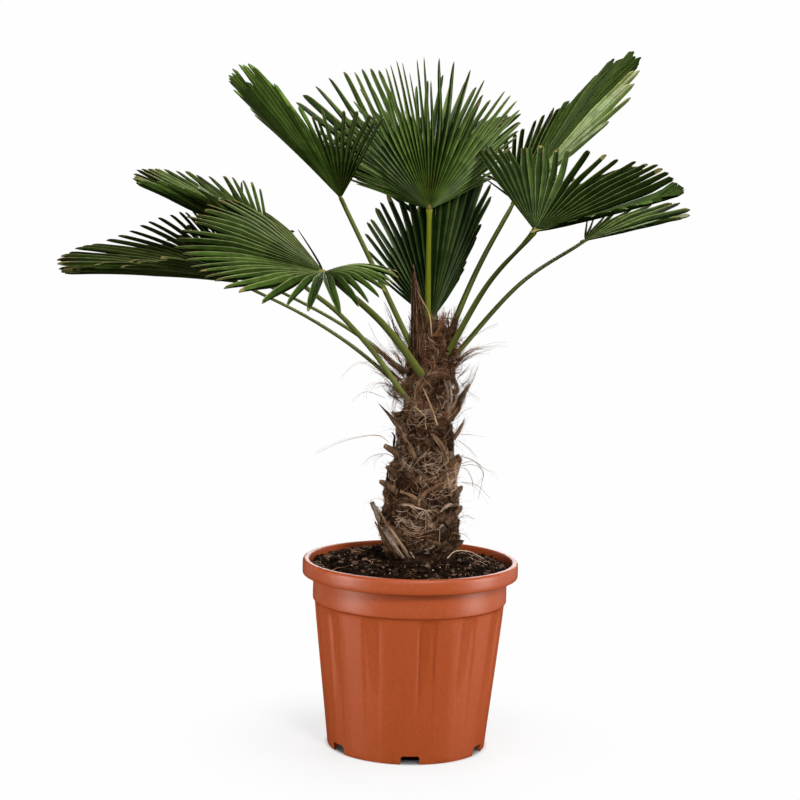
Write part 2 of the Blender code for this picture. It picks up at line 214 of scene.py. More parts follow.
FIBRE = [
    principled("fibre_dark", (0.022, 0.011, 0.006), 0.9, 0.03),
    principled("fibre_brown", (0.128, 0.064, 0.033), 0.85, 0.06),
    principled("fibre_red", (0.220, 0.086, 0.038), 0.8, 0.06),
    principled("fibre_tan", (0.335, 0.192, 0.103), 0.8, 0.1),
    principled("fibre_pale", (0.530, 0.380, 0.255), 0.8, 0.1),
    principled("fibre_grey", (0.350, 0.275, 0.220), 0.85, 0.06),
]
for fibre, spread in zip(FIBRE, (0.25, 0.25, 0.2, 0.2, 0.15, 0.2)):
    base = fibre.node_tree.nodes["Principled BSDF"].inputs["Base Color"].default_value
    add_pattern(fibre, tuple(c * (1 - spread) for c in base[:3]),
                tuple(min(1, c * (1 + spread)) for c in base[:3]), 120.0, 2.0)
SOIL = [
    add_pattern(principled("soil_peat", (0.010, 0.005, 0.003), 0.95, 0.02), (0.003, 0.0015, 0.0008),
                (0.022, 0.012, 0.007), 160.0, 8.0, 1.0, 0.002, (1, 1, 1), (0.9, 1.0), 420.0),
    add_pattern(principled("soil_clod", (0.026, 0.014, 0.009), 0.95, 0.02), (0.009, 0.005, 0.003),
                (0.048, 0.027, 0.017), 220.0, 6.0, 0.8, 0.001, (1, 1, 1), (0.9, 1.0), 600.0),
    add_pattern(principled("soil_bark", (0.110, 0.062, 0.040), 0.9, 0.05), (0.050, 0.028, 0.018),
                (0.180, 0.106, 0.072), 180.0, 5.0, 0.6, 0.001, (1, 1, 1), (0.85, 0.95), 500.0),
    principled("soil_fleck", (0.50, 0.45, 0.38), 0.8, 0.2),
]
POT = add_pattern(principled("pot_terracotta", (0.322, 0.058, 0.0125), 0.42, 0.34),
                  (0.303, 0.054, 0.011), (0.342, 0.063, 0.015), 210.0, 9.0, 0.14, 0.0004,
                  (1, 1, 0.7), (0.38, 0.50), 900.0)


# ------------------------------------------------------------------ meshes
class Builder:
    """Gathers points, faces and the material of each face."""

    def __init__(self):
        self.points, self.faces, self.slots = [], [], []

    def loft(self, rings, slots, cap_slot=None, closed=True):
        """Skins rings of points. slots gives the material of each strip, or one for all."""
        start = len(self.points)
        count = len(rings[0])
        for ring in rings:
            self.points.extend(ring)
        for i in range(len(rings) - 1):
            a = start + i * count
            for k in range(count if closed else count - 1):
                j = (k + 1) % count
                self.faces.append((a + k, a + j, a + count + j, a + count + k))
                slot = slots(i, k) if callable(slots) else slots
                self.slots.append(slot)
        if cap_slot is not None:
            last = start + (len(rings) - 1) * count
            self.faces.append(tuple(range(start + count - 1, start - 1, -1)))
            self.faces.append(tuple(range(last, last + count)))
            self.slots += [cap_slot, cap_slot]

    def object(self, name, materials, smooth=True):
        mesh = bpy.data.meshes.new(name)
        mesh.from_pydata([tuple(p) for p in self.points], [], self.faces)
        for mat in materials:
            mesh.materials.append(mat)
        mesh.polygons.foreach_set("material_index", self.slots)
        mesh.update()
        if smooth:
            mesh.shade_smooth()
        made = bpy.data.objects.new(name, mesh)
        bpy.context.scene.collection.objects.link(made)
        return made


def hand_over(piece, slot, *nodes):
    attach(piece, "root")
    if nodes:
        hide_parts(*nodes)
    return piece


def smooth_step(t):
    t = max(0.0, min(1.0, t))
    return t * t * (3 - 2 * t)


def path_through(waypoints, steps):
    """A smooth curve through waypoints, evenly stepped."""
    w = [Vector(p) for p in waypoints]
    ends = [2 * w[0] - w[1], *w, 2 * w[-1] - w[-2]]
    fine = []
    for a, b, c, d in zip(ends, ends[1:], ends[2:], ends[3:]):
        for k in range(16):
            t = k / 16
            fine.append(0.5 * (2 * b + (c - a) * t + (2 * a - 5 * b + 4 * c - d) * t * t
                               + (3 * b - a - 3 * c + d) * t**3))
    fine.append(w[-1])
    run = [0.0]
    for a, b in zip(fine, fine[1:]):
        run.append(run[-1] + (b - a).length)
    out = []
    i = 1
    for k in range(steps + 1):
        want = run[-1] * k / steps
        while i < len(run) - 1 and run[i] < want:
            i += 1
        span = run[i] - run[i - 1]
        t = 0 if span == 0 else min(1.0, (want - run[i - 1]) / span)
        out.append(fine[i - 1].lerp(fine[i], t))
    return out


# ------------------------------------------------------------------ fans
class Fan:
    """The same fan as the construction's, with segments in place of lobes."""

    def __init__(self, hub, heading, rise, roll, length, right, left, droop):
        az, el, ro = (math.radians(v) for v in (heading, rise, roll))
        self.hub = Vector(hub)
        self.length = length
        self.droop = droop
        self.sides = {1: right, -1: left}
        self.ahead = Vector((math.cos(el) * math.cos(az), math.cos(el) * math.sin(az), math.sin(el)))
        up = Vector((-math.sin(el) * math.cos(az), -math.sin(el) * math.sin(az), math.cos(el)))
        across = self.ahead.cross(up)
        self.up = math.cos(ro) * up + math.sin(ro) * across
        self.across = self.ahead.cross(self.up)

    def reach(self, angle):
        spread, _, _, middle, edge = self.sides[1 if angle >= 0 else -1]
        q = abs(angle) / spread
        curve = 2 * (1 - 2 * middle + edge)
        return self.length * (1 + (edge - 1 - curve) * q + curve * q * q)

    def point(self, angle, along, reach=None):
        side = 1 if angle >= 0 else -1
        spread, fold, edge_fold, _, _ = self.sides[side]
        a = math.radians(abs(angle))
        w = math.radians(fold + (edge_fold - fold) * abs(angle) / spread)
        way = math.cos(a) * self.ahead + math.sin(a) * (
            math.cos(w) * side * self.across + math.sin(w) * self.up)
        sag = self.droop * along**2.2 * math.sqrt(max(0.0, 1 - way.z**2))
        return self.hub + (reach or self.reach(angle)) * (along * way - Vector((0, 0, sag)))

    def facing(self, angle, along):
        turn = self.point(angle + 1, along) - self.point(angle - 1, along)
        out = self.point(angle, along + 0.02) - self.point(angle, along - 0.02)
        return turn.cross(out).normalized()


STATIONS = (0.030, 0.06, 0.11, 0.18, 0.26, 0.34, 0.41, 0.48, 0.55, 0.62, 0.69, 0.76, 0.83, 0.89, 0.94, 0.975, 1.0)
THICK = 0.00045


def aim(fan, side, x, y):
    """The angle and length share at which a segment's tip falls on a picture place."""
    spread = fan.sides[side][0]
    best = None
    steps = 36
    for n in range(steps + 1):
        angle = side * max(0.01, spread * 1.04 * n / steps)
        reach = fan.reach(max(-fan.sides[-1][0], min(fan.sides[1][0], angle)))
        for share in (0.7, 0.8, 0.9, 1.0, 1.1, 1.2, 1.3):
            px, py = seen_from_camera(fan.point(angle, 1.0, reach * share))
            cost = (px - x) ** 2 + (py - y) ** 2 + (40 * (share - 1)) ** 2
            if best is None or cost < best[0]:
                best = (cost, angle, share)
    _, angle, share = best
    for _ in range(12):
        reach = fan.reach(angle)
        p0 = np.array(seen_from_camera(fan.point(angle, 1.0, reach * share)))
        pa = np.array(seen_from_camera(fan.point(angle + 0.5 * side, 1.0, fan.reach(angle + 0.5 * side) * share)))
        ps = np.array(seen_from_camera(fan.point(angle, 1.0, reach * (share + 0.01))))
        jac = np.stack([(pa - p0) / 0.5, (ps - p0) / 0.01 * 0.02], 1)
        miss = np.array((x, y)) - p0
        step = [float(v) for v in np.linalg.solve(jac.T @ jac + 0.3 * np.eye(2), jac.T @ miss)]
        angle = side * max(0.0, min(spread * 1.06, abs(angle + side * max(-4, min(4, step[0])))))
        share = max(0.6, min(1.4, share + 0.02 * max(-4, min(4, step[1]))))
    return angle, share


def plan_segments(fan, count, tips, rng, filler=1.0):
    """Angle of each segment where it is fused, and angle and length share of its tip."""
    left, right_ = fan.sides[-1][0], fan.sides[1][0]
    spacing = (left + right_) / count
    known = sorted(aim(fan, side, x, y) for side, x, y in tips)
    merged = []
    for angle, share in known:
        if merged and angle - merged[-1][0] < 0.35 * spacing:
            angle = merged[-1][0] + 0.35 * spacing
        merged.append((angle, share))
    full, before, last = [], -left - spacing * 0.5, None
    for angle, share in merged + [(right_ + spacing * 0.5, None)]:
        gap = angle - before
        extra = max(0, round(gap / spacing) - 1)
        for k in range(extra):
            t = (k + 1) / (extra + 1)
            length = filler if last is None or share is None else min(filler, last + (share - last) * t - 0.01)
            full.append((before + gap * t + rng.gauss(0, 0.10) * spacing, length + rng.gauss(0, 0.015)))
        if share is not None:
            full.append((angle, share))
        before, last = angle, share
    ends = [angle for angle, _ in full]
    base = list(ends)
    for _ in range(14):
        base = [base[0]] + [0.5 * base[k] + 0.25 * (base[k - 1] + base[k + 1])
                            for k in range(1, len(base) - 1)] + [base[-1]]
    return [(b, e, share) for b, (e, share) in zip(base, full)]


def build_fan(name, fan, count, seed, tips=(), yellow=0.1, brown=0.03, greens=(0.55, 0.3, 0.15),
              split=0.48, pleat=61.0, strap=0.40, arch=0.0, filler=1.0, soft=(1.0, 1.0),
              shade=(0, 0, 0, 0), point=0.86, sharp=0.82, line=0.0008, painted_light_gain=(1, 1, 1, 1), plain=(), pale_sheen=(),
              loose=(4, 4), sliver=False, gap=None):
    rng = random.Random(seed)
    plan = plan_segments(fan, count, tips, rng, filler)
    total = len(plan)
    ends = split if isinstance(split, tuple) else (split, split)
    splits = []
    for k in range(total + 1):
        w = (len(ends) - 1) * k / total
        n = min(len(ends) - 2, int(w))
        splits.append(ends[n] + (ends[n + 1] - ends[n]) * (w - n) + rng.uniform(-0.05, 0.05))
    for k in range(loose[0]):
        splits[k] -= 0.04 * (4 - k)
    for k in range(loose[1]):
        splits[-1 - k] -= 0.04 * (4 - k)
    if sliver:
        splits[-1] = splits[-2] = 0.13
    build = Builder()
    for j, (middle, tip_angle, share) in enumerate(plan):
        if gap and gap[0] < middle < gap[1]:
            continue
        low = plan[j - 1][0] if j else middle - (plan[1][0] - middle)
        high = plan[j + 1][0] if j < total - 1 else middle + (middle - plan[-2][0])
        half_angle = (0.5 * (middle - low), 0.5 * (high - middle))
        reach = fan.reach(tip_angle) * share
        lean = tip_angle - middle
        dip = rng.gauss(0, 0.005)
        bend = rng.uniform(0.0, 0.02)
        twist = rng.gauss(0, 0.30)
        steep = math.tan(math.radians(pleat + rng.uniform(-4, 4))) * soft[middle > 0]
        spread = fan.sides[1 if middle > 0 else -1][0]
        part = 0 if middle < -0.45 * spread else 1 if middle < 0 else 2 if middle < 0.5 * spread else 3
        # shade shifts a part's tone up or down for how the light falls on it there: painted light and shade
        blade = max(DARK, min(BRIGHT, rng.choices((GREEN, DARK, LIGHT), greens)[0] + shade[part]))
        tip = TIP_YELLOW if rng.random() < yellow else TIP_BROWN if rng.random() < brown else None
        tip_from = rng.choice((14, 15, 15, 15, 15))
        if part in plain:
            tip = None
        rings = []
        for i, along in enumerate(STATIONS):
            past = [max(0.0, (along - splits[j + k]) / (1 - splits[j + k])) for k in (0, 1)]
            most = smooth_step(max(past))
            centre = middle + lean * most
            normal = fan.facing(centre, along)
            halves = []
            for k in (0, 1):
                if past[k] <= 0:
                    halves.append(math.radians(half_angle[k]) * along * reach)
                else:
                    p = past[k]
                    end = max(0.0, (p - point) / (1 - point))
                    even = 0.5 * (half_angle[0] + half_angle[1])
                    half = half_angle[k] + (even - half_angle[k]) * smooth_step(p * 2.5)
                    halves.append(math.radians(half) * splits[j + k] * reach
                                  * (1.0 - strap * p) * math.sqrt(max(0.0, 1 - sharp * end * end)))
            hw = 0.5 * (halves[0] + halves[1])
            height = hw * steep * (1 - 0.32 * most)
            rib = min(0.14 * hw, (0.00040 + 0.0003 * (1 - along)))
            wide = 1 - min(0.15, line / hw)
            ring_top, ring_low = [], []
            for u in (-1.0, -wide, -0.60, -0.27, -rib / hw, rib / hw, 0.27, 0.60, wide, 1.0):
                half = halves[0] if u < 0 else halves[1]
                angle = centre + math.degrees(u * half / (along * reach))
                reach_here = along
                if i == len(STATIONS) - 1:
                    reach_here = along - (0.014 if abs(u) < 0.2 else 0.0 if abs(u) < 0.7 else 0.008)
                p = fan.point(angle, reach_here, reach)
                lift = height * (abs(u) - 0.5) + twist * u * hw * most * 0.8
                lift -= (dip * most + bend * most * most * 0.25) * reach
                p = p + normal * lift
                if arch:
                    p.z += arch * reach * math.sin(math.pi * min(1.0, along)) * max(0.0, -tip_angle) / fan.sides[-1][0]
                ring_top.append(p)
                deep = THICK if abs(u) > 0.3 else THICK + 0.0006 * (1 - 0.6 * along)
                ring_low.append(p - normal * deep)
            rings.append(ring_top + ring_low[::-1])

        # painted light and shade across each segment: a thin pale margin with a painted highlight on the ridge, down to
        # a painted shade in the fold, and the other way round underneath
        above_ = (MARGIN_AND_HIGHLIGHT, tone(blade), tone(blade), tone(blade - 2), tone(blade - 1))
        below_ = (MARGIN_AND_HIGHLIGHT if blade > DARK else GREEN, tone(blade - 2), tone(blade - 1), tone(blade + 1), tone(blade + 2))
        if part in plain:
            below_ = above_ = (tone(blade + 1), tone(blade), tone(blade), tone(blade - 2), tone(blade - 1))
        # pale undersides with a painted sheen on them
        if part in pale_sheen:
            above_ = (MARGIN_AND_HIGHLIGHT, PALE_SHEEN, PALE_SHEEN if rng.random() < 0.6 else BRIGHT, LIGHT, GREEN)
            below_ = (MARGIN_AND_HIGHLIGHT, BRIGHT, LIGHT, BRIGHT, PALE_SHEEN)
        free = [13 if STATIONS[13] > splits[j + k] + 0.04 else 15 for k in (0, 1)]

        def pick_slot(i, k):
            if tip is not None and i >= tip_from:
                return tip
            if k in (9, 19):
                return EDGE if i >= max(14, free[k == 9]) and part not in plain else tone(blade - 1)
            place = min(k, 8 - k) if k < 9 else min(k - 10, 18 - k)
            if place == 0 and part not in plain and i >= free[(k > 4) if k < 9 else (k < 14)]:
                return EDGE
            # painted shade in the folds seen from underneath, near the hub
            if k > 9 and place == 0 and i < 9 and part not in plain:
                return DEEP
            if k > 9 and place == 4 and i < 4:
                return INNER
            pick = (above_ if k < 9 else below_)[place]
            # one tone darker over the first stations, towards the hub: painted shade
            return tone(pick - 1) if i < 6 and place and DARK < pick < MARGIN_AND_HIGHLIGHT else pick

        def slot(i, k):
            return part * len(LEAF_LOOKS) + pick_slot(i, k)

        build.loft(rings, slot, cap_slot=part * len(LEAF_LOOKS) + (tone(blade - 1) if part in plain else EDGE))
    # each part of the leaf takes its own lit or shaded copy of the colours: painted light and shade
    looks = [mat for g in painted_light_gain for mat in leaf_lit_and_shaded_copies(g)]
    return build, looks


def add_hub(build, fan):
    """The small woody point where the ribs meet the stalk."""
    rings = []
    for t, r in ((-1.1, 0.55), (-0.5, 0.85), (0.0, 1.0), (0.5, 0.85), (1.0, 0.5), (1.5, 0.12)):
        centre = fan.hub + fan.ahead * (0.0065 * t)
        rings.append([centre + fan.across * (0.0038 * r * math.cos(a)) + fan.up * (0.0024 * r * math.sin(a))
                      for a in (math.tau * k / 10 for k in range(10))])
    build.loft(rings, HUB, cap_slot=HUB)


# Where the tips of the visible segments fall in the picture, by side of the midrib.
R, L = 1, -1
TIPS = {
    "front_centre": [(R, 382.6, 73.8), (R, 386.9, 67.1), (R, 392.3, 64), (R, 400.2, 60), (R, 405, 62),
                     (R, 409.8, 72.5), (R, 417.6, 58.5), (R, 424.8, 56.2), (L, 428.8, 80), (L, 439.3, 58),
                     (L, 454.2, 61.5), (L, 470.7, 69.6), (L, 484.4, 80), (L, 481, 99), (L, 504, 90.7),
                     (L, 510, 95), (L, 516.4, 100.7), (L, 495.7, 176), (R, 356, 184), (R, 357, 172)],
    "upper_left": [(L, 233.5, 74.5), (L, 235.2, 68.5), (L, 238.5, 65), (L, 244.5, 63.3), (L, 248.5, 63),
                   (L, 254.4, 66.2), (L, 273.4, 84), (L, 289.6, 104.4), (L, 298.6, 106.7), (L, 311.8, 116),
                   (L, 321.6, 109.2), (L, 334.6, 117.5), (L, 345.1, 108.8), (L, 357.4, 110.4), (L, 370.2, 115),
                   (L, 376, 119), (L, 384.5, 116), (R, 230, 77), (R, 231, 83), (R, 249.3, 103.5), (R, 253.5, 116)],
    "left_middle": [(R, 134.4, 173), (R, 137, 169.5), (R, 142, 168.7), (R, 148.4, 168.3), (R, 155.5, 167.3),
                    (R, 165, 167), (R, 176.5, 170), (R, 185.3, 171.3), (R, 196.9, 174), (R, 209, 176),
                    (R, 223.8, 174.3), (R, 232.6, 175.4), (R, 243.4, 179.2), (R, 251.6, 181), (R, 260.3, 187.6),
                    (L, 140, 181), (L, 158, 181), (L, 183.5, 187.4), (L, 198.2, 187.4)],
    "left_far": [(R, 57, 260), (R, 61, 256.2), (R, 69.3, 251.8), (R, 75.1, 248), (R, 82.1, 246.5),
                 (R, 91.6, 242.7), (R, 106.2, 238.8), (R, 117.7, 234.8), (R, 129.2, 230.1), (R, 140, 225.7),
                 (R, 148.1, 221.3), (R, 158, 217.7), (R, 170, 214.9), (R, 179, 211.3), (R, 182.4, 210.4),
                 (R, 191.2, 208), (R, 195.2, 209), (L, 57.5, 264.5), (L, 61, 269), (L, 65, 272.6),
                 (L, 121, 265.3), (L, 161, 258.5)],
    "left_front": [(R, 298.7, 228.5), (R, 269.6, 210.7), (R, 263.8, 214), (R, 232.2, 198.9), (R, 217.4, 199.2),
                   (R, 206.4, 204), (R, 204.5, 209), (R, 195.6, 214.8), (R, 193, 222.3), (R, 186, 218),
                   (R, 180.4, 230), (R, 176, 239.2),
                   (L, 177, 250), (L, 182.8, 253.7), (L, 186.8, 260.7), (L, 196.4, 270.5), (L, 203.3, 274.8),
                   (L, 207, 277.9), (L, 215.2, 281.2), (L, 224.8, 286.4), (L, 239, 291.9), (L, 262.5, 302.2),
                   (L, 287.6, 304.4), (L, 308, 311.4), (L, 339.6, 314.9), (L, 358.2, 306.4), (L, 378.9, 296.7),
                   (L, 388.5, 285.2), (L, 388, 270.5), (L, 390, 266), (L, 390, 257), (L, 396.3, 251)],
    "centre": [(R, 380.7, 202.2), (R, 375.3, 208), (R, 370.3, 219.5), (R, 368, 221.6), (R, 365.2, 233.8),
               (R, 367, 250), (R, 376, 267), (L, 489.4, 183.5), (L, 489.7, 196.2), (L, 480.6, 224.6), (L, 475.5, 236.8), (L, 474.4, 241.3),
               (L, 465.8, 261), (L, 460, 278)],
    "upper_right": [(L, 506, 131), (L, 523, 127.8), (L, 536.1, 120), (L, 554.1, 108.9), (L, 569.3, 101.1),
                    (L, 600.5, 72.5), (L, 614, 59.2), (L, 621, 56), (L, 637, 54), (R, 638.6, 69.7),
                    (R, 634.5, 83.8), (R, 630.2, 97.1), (R, 608.6, 121.4)],
    "right_front": [(L, 475.8, 147.3), (L, 481, 145.5), (L, 487, 144.6), (L, 498, 147.4), (L, 506.6, 148.6),
                    (L, 523.3, 146.9), (L, 528, 147.2), (L, 541, 144.8), (L, 545.6, 148), (L, 568.2, 150.6),
                    (L, 589.4, 150.6), (L, 606.4, 154.3), (L, 618.3, 159.4), (L, 636, 160.5), (L, 648, 163.9),
                    (L, 658, 165.2), (L, 662.6, 168.9), (L, 668.2, 171.9), (L, 674, 177.9), (L, 677, 182.4),
                    (L, 685, 188.3), (R, 681, 193.8)],
    "right_far": [(L, 587.2, 218.2), (L, 594, 217.5), (L, 606, 213.4), (L, 616, 211), (L, 632.7, 207.3),
                  (L, 651.8, 204), (L, 671.6, 202), (L, 679.8, 204.6), (L, 690, 209.2), (R, 688.6, 212.3),
                  (R, 678.6, 219.2)],
    "back_centre": [(L, 296.8, 102), (L, 303.4, 94.5), (L, 315.5, 86.5), (L, 328.6, 78.3), (L, 343.4, 72.1),
                    (L, 354.6, 71.8), (L, 362, 68.4), (L, 370.7, 67.3), (L, 378.8, 69.2),
                    (R, 521, 114), (R, 520, 122.5), (R, 518, 131)],
}

# Per leaf, the gains, the tone weights and the shade shifts make each part lighter or darker for how the light falls on
# it there: painted light and shade. The dark centre leaf is painted shade.
LEAVES = {
    "front_centre": (
        Fan((0.013, -0.076, 0.798), -93, 61, -1, 0.239,
            (94, 10, 39, 0.81, 0.61), (91, 6, 51, 0.80, 0.62), 0.03),
        ((0.020, -0.008, 0.600), (0.016, -0.022, 0.640), (0.014, -0.055, 0.720)),
        dict(count=29, yellow=0.03, painted_light_gain=(1.35, 1.35, 1.35, 1.35), greens=(0.40, 0.0, 0.60), strap=0.55, split=0.46, point=0.72, sharp=0.90, tips=TIPS["front_centre"]),
    ),
    "upper_left": (
        Fan((-0.113, -0.060, 0.810), 204, 48, 8, 0.247,
            (53, 11, 20, 0.94, 0.94), (64, 8, 7, 0.71, 1.02), 0.05),
        ((0.012, -0.006, 0.575), (-0.009, -0.021, 0.604), (-0.050, -0.036, 0.685)),
        dict(count=25, yellow=0.15, brown=0.10, painted_light_gain=(1.70, 2.3, 2.2, 2.0), plain=(1, 2), soft=(0.60, 0.30), greens=(0.25, 0.0, 0.75), strap=0.35,
             split=(0.50, 0.52, 0.62, 0.82, 0.86, 0.84, 0.80), tips=TIPS["upper_left"]),
    ),
    "left_middle": (
        Fan((-0.225, 0.083, 0.725), -153, 31, 0, 0.245,
            (84, 6, 39, 0.95, 0.78), (87, 6, 10, 0.90, 0.72), 0.11),
        ((0.006, -0.010, 0.500), (-0.026, -0.026, 0.541), (-0.060, -0.022, 0.587),
         (-0.113, 0.010, 0.640), (-0.167, 0.045, 0.678)),
        dict(count=27, yellow=0.5, painted_light_gain=(1.0, 0.9, 0.9, 0.9), greens=(0.35, 0.0, 0.65), strap=0.40, filler=0.97, soft=(0.8, 0.8),
             split=(0.50, 0.60, 0.66, 0.60, 0.50), plain=(1,), gap=(-92, -72), tips=TIPS["left_middle"]),
    ),
    "left_far": (
        Fan((-0.262, 0.017, 0.682), -169, 8, 5, 0.262,
            (76, 4, 36, 1.07, 0.87), (65, 4, 9, 0.93, 0.79), 0.10),
        ((0.006, 0.000, 0.514), (-0.030, 0.004, 0.544), (-0.069, 0.004, 0.5765),
         (-0.114, 0.004, 0.6085), (-0.175, 0.008, 0.643)),
        dict(count=27, yellow=0.4, brown=0.05, painted_light_gain=(0.9, 0.5, 0.32, 0.4), greens=(0.4, 0.0, 0.6), strap=0.25, filler=0.97, tips=TIPS["left_far"]),
    ),
    "left_front": (
        Fan((-0.130, -0.188, 0.710), -138, 11, -40, 0.251,
            (102, 6, -8, 0.66, 0.51), (149, -4, 63, 0.70, 0.37), 0.04),
        ((0.014, -0.014, 0.540), (0.006, -0.040, 0.562), (-0.050, -0.095, 0.636)),
        dict(count=33, yellow=0.40, brown=0.2, painted_light_gain=(1.9, 1.3, 0.63, 0.56), greens=(0.35, 0.65, 0.0), strap=0.30, split=(0.40, 0.44, 0.60, 0.64, 0.60),
             arch=0.10, point=0.50, sharp=0.93, sliver=True, gap=(79, 100),
             tips=TIPS["left_front"]),
    ),
    "centre": (
        Fan((0.0209, 0.0002, 0.6355), -93.5, 74, 2.6, 0.255,
            (67, 41, 35, 0.74, 0.48), (70, 41, 64, 0.90, 0.40), -0.02),
        ((0.0222, 0.0000, 0.594), (0.0216, 0.0001, 0.613)),
        dict(count=23, yellow=0.02, painted_light_gain=(0.8, 0.65, 0.6, 0.85), greens=(0.30, 0.70, 0.0), strap=0.20, split=0.60, pleat=54, tips=TIPS["centre"]),
    ),
    "upper_right": (
        Fan((0.141, 0.067, 0.813), 21, 50, -15, 0.299,
            (45, 0, -10, 0.92, 0.67), (79, -2, 22, 0.98, 0.40), 0.0),
        ((0.034, 0.002, 0.565), (0.046, 0.006, 0.610), (0.087, 0.032, 0.7105)),
        dict(count=29, yellow=0.05, painted_light_gain=(0.28, 0.48, 0.5, 1.9), greens=(0.55, 0.1, 0.35), shade=(-1, 0, 0, 1), strap=0.25, filler=0.95,
             split=(0.50, 0.50, 0.55, 0.62, 0.74, 0.78, 0.82, 0.80, 0.66, 0.60, 0.62), plain=(1, 2), pale_sheen=(3,), loose=(4, 0),
             tips=TIPS["upper_right"]),
    ),
    "right_front": (
        Fan((0.155, -0.211, 0.773), 13, 14, 21, 0.224,
            (92, 23, 24, 0.85, 0.74), (97, 26, 17, 0.74, 0.81), -0.05),
        ((0.028, -0.006, 0.560), (0.047, -0.022, 0.593), (0.098, -0.105, 0.696)),
        dict(count=25, yellow=0.35, brown=0.25, filler=0.95, soft=(1.0, 0.25), greens=(0.55, 0.45, 0.0), shade=(0, -1, 0, 0), strap=0.22,
             split=(0.70, 0.72, 0.70, 0.68, 0.60, 0.42, 0.62, 0.80, 0.84, 0.86, 0.88, 0.90, 0.92), loose=(0, 0), plain=(2, 3),
             painted_light_gain=(0.95, 0.42, 0.60, 1.6), line=0.0006, tips=TIPS["right_front"]),
    ),
    "right_far": (
        Fan((0.253, 0.115, 0.755), 21, 13, 4, 0.183,
            (82, 12, 11, 0.94, 0.60), (61, 13, 5, 1.04, 0.64), -0.01),
        ((0.036, 0.010, 0.555), (0.065, 0.026, 0.591), (0.154, 0.065, 0.690)),
        dict(count=22, yellow=0.25, filler=0.88, soft=(1.0, 0.45), greens=(0.35, 0.55, 0.10), strap=0.30, split=(0.35, 0.55, 0.78, 0.82),
             loose=(4, 0), painted_light_gain=(0.6, 1.0, 1.1, 1.1), plain=(3,), pale_sheen=(2,), tips=TIPS["right_far"]),
    ),
    "back_centre": (
        Fan((0.003, 0.140, 0.799), 108, 57, -24, 0.275,
            (101, 25, 37, 0.90, 0.62), (90, 12, 52, 0.92, 0.68), 0.03),
        ((0.020, 0.008, 0.600), (0.014, 0.026, 0.640), (0.008, 0.080, 0.720)),
        dict(count=28, yellow=0.05, painted_light_gain=(0.95, 0.95, 0.95, 0.95), greens=(0.5, 0.4, 0.1), strap=0.50, split=0.46, filler=0.80, tips=TIPS["back_centre"]),
    ),
    "back_high": (
        Fan((0.016, 0.222, 0.839), 84, 29, 11, 0.250,
            (79, 27, 51, 0.81, 0.53), (96, 23, 9, 0.81, 0.58), 0.12),
        ((0.026, 0.008, 0.570), (0.026, 0.034, 0.622), (0.024, 0.120, 0.722)),
        dict(count=28, yellow=0.10),
    ),
    "back_right": (
        Fan((0.187, 0.168, 0.796), 50, 12, 3, 0.240,
            (92, 34, 34, 0.74, 0.51), (68, 19, 17, 0.93, 0.84), 0.10),
        ((0.032, 0.014, 0.545), (0.0462, 0.020, 0.5874), (0.0607, 0.040, 0.6111),
         (0.109, 0.085, 0.6911), (0.1711, 0.140, 0.7625)),
        dict(count=26, yellow=0.15),
    ),
    "back_left": (
        Fan((-0.264, 0.153, 0.689), 150, 8, -8, 0.235,
            (64, 19, 54, 0.85, 0.78), (57, 20, 13, 0.77, 0.67), 0.11),
        ((0.006, 0.008, 0.545), (-0.040, 0.020, 0.5765), (-0.090, 0.042, 0.611),
         (-0.157, 0.082, 0.645)),
        dict(count=25, yellow=0.2),
    ),
    "back_low": (
        Fan((0.025, 0.186, 0.759), 75, 2, -2, 0.240,
            (56, 65, 70, 0.72, 0.57), (61, 25, 37, 0.83, 0.50), 0.07),
        ((0.018, 0.010, 0.530), (0.014, 0.040, 0.580), (0.020, 0.100, 0.668)),
        dict(count=25, yellow=0.15),
    ),
}


THICKER = {"left_front": 1.12, "right_front": 1.12, "front_centre": 0.80, "upper_left": 1.0,
           "upper_right": 1.30, "back_right": 0.6, "left_middle": 1.08}


def build_stalk(fan, route, thick=0.80, main=0):
    """A leaf stalk with a shallow channel on top, thin paler edges and a brown foot."""
    build = Builder()
    path = path_through((*route, fan.hub), 44)
    side = None
    rings = []
    for n, point in enumerate(path):
        way = (path[min(n + 1, len(path) - 1)] - path[max(n - 1, 0)]).normalized()
        if side is None:
            side = way.cross(Vector((0, 0, 1)))
            if side.length < 0.2:
                side = Vector((1, 0, 0))
        side = (side - way * side.dot(way)).normalized()
        t = n / (len(path) - 1)
        end = smooth_step((t - 0.7) / 0.3)
        aim = side.lerp(fan.across if fan.across.dot(side) > 0 else -fan.across, end * 0.9)
        use = (aim - way * aim.dot(way)).normalized()
        top = use.cross(way)
        if top.z < -0.2:
            top = -top
        foot = max(0.0, 1 - t / 0.16) ** 1.5
        half_w = 0.5 * thick * (0.0116 - 0.0026 * smooth_step(t * 1.2)) * (1 + 0.55 * foot)
        half_d = 0.5 * thick * (0.0092 - 0.0022 * smooth_step(t * 1.2))
        if t > 0.93:
            half_w *= 1 + 0.35 * (t - 0.93) / 0.07
            half_d *= 1 - 0.35 * (t - 0.93) / 0.07
        ring = []
        for k in range(24):
            a = math.tau * k / 24
            x, y = math.cos(a), math.sin(a)
            if y > 0:
                y = y * 0.62 - 0.24 * (1 - x * x) ** 2
            ring.append(point + use * half_w * x + top * half_d * y)
        rings.append(ring)

    def slot(i, k):
        if i < 5:
            return 2
        return 1 if k in (0, 1, 22, 23, 10, 11, 12, 13) and main == 0 else main

    build.loft(rings, slot, cap_slot=main)
    return build


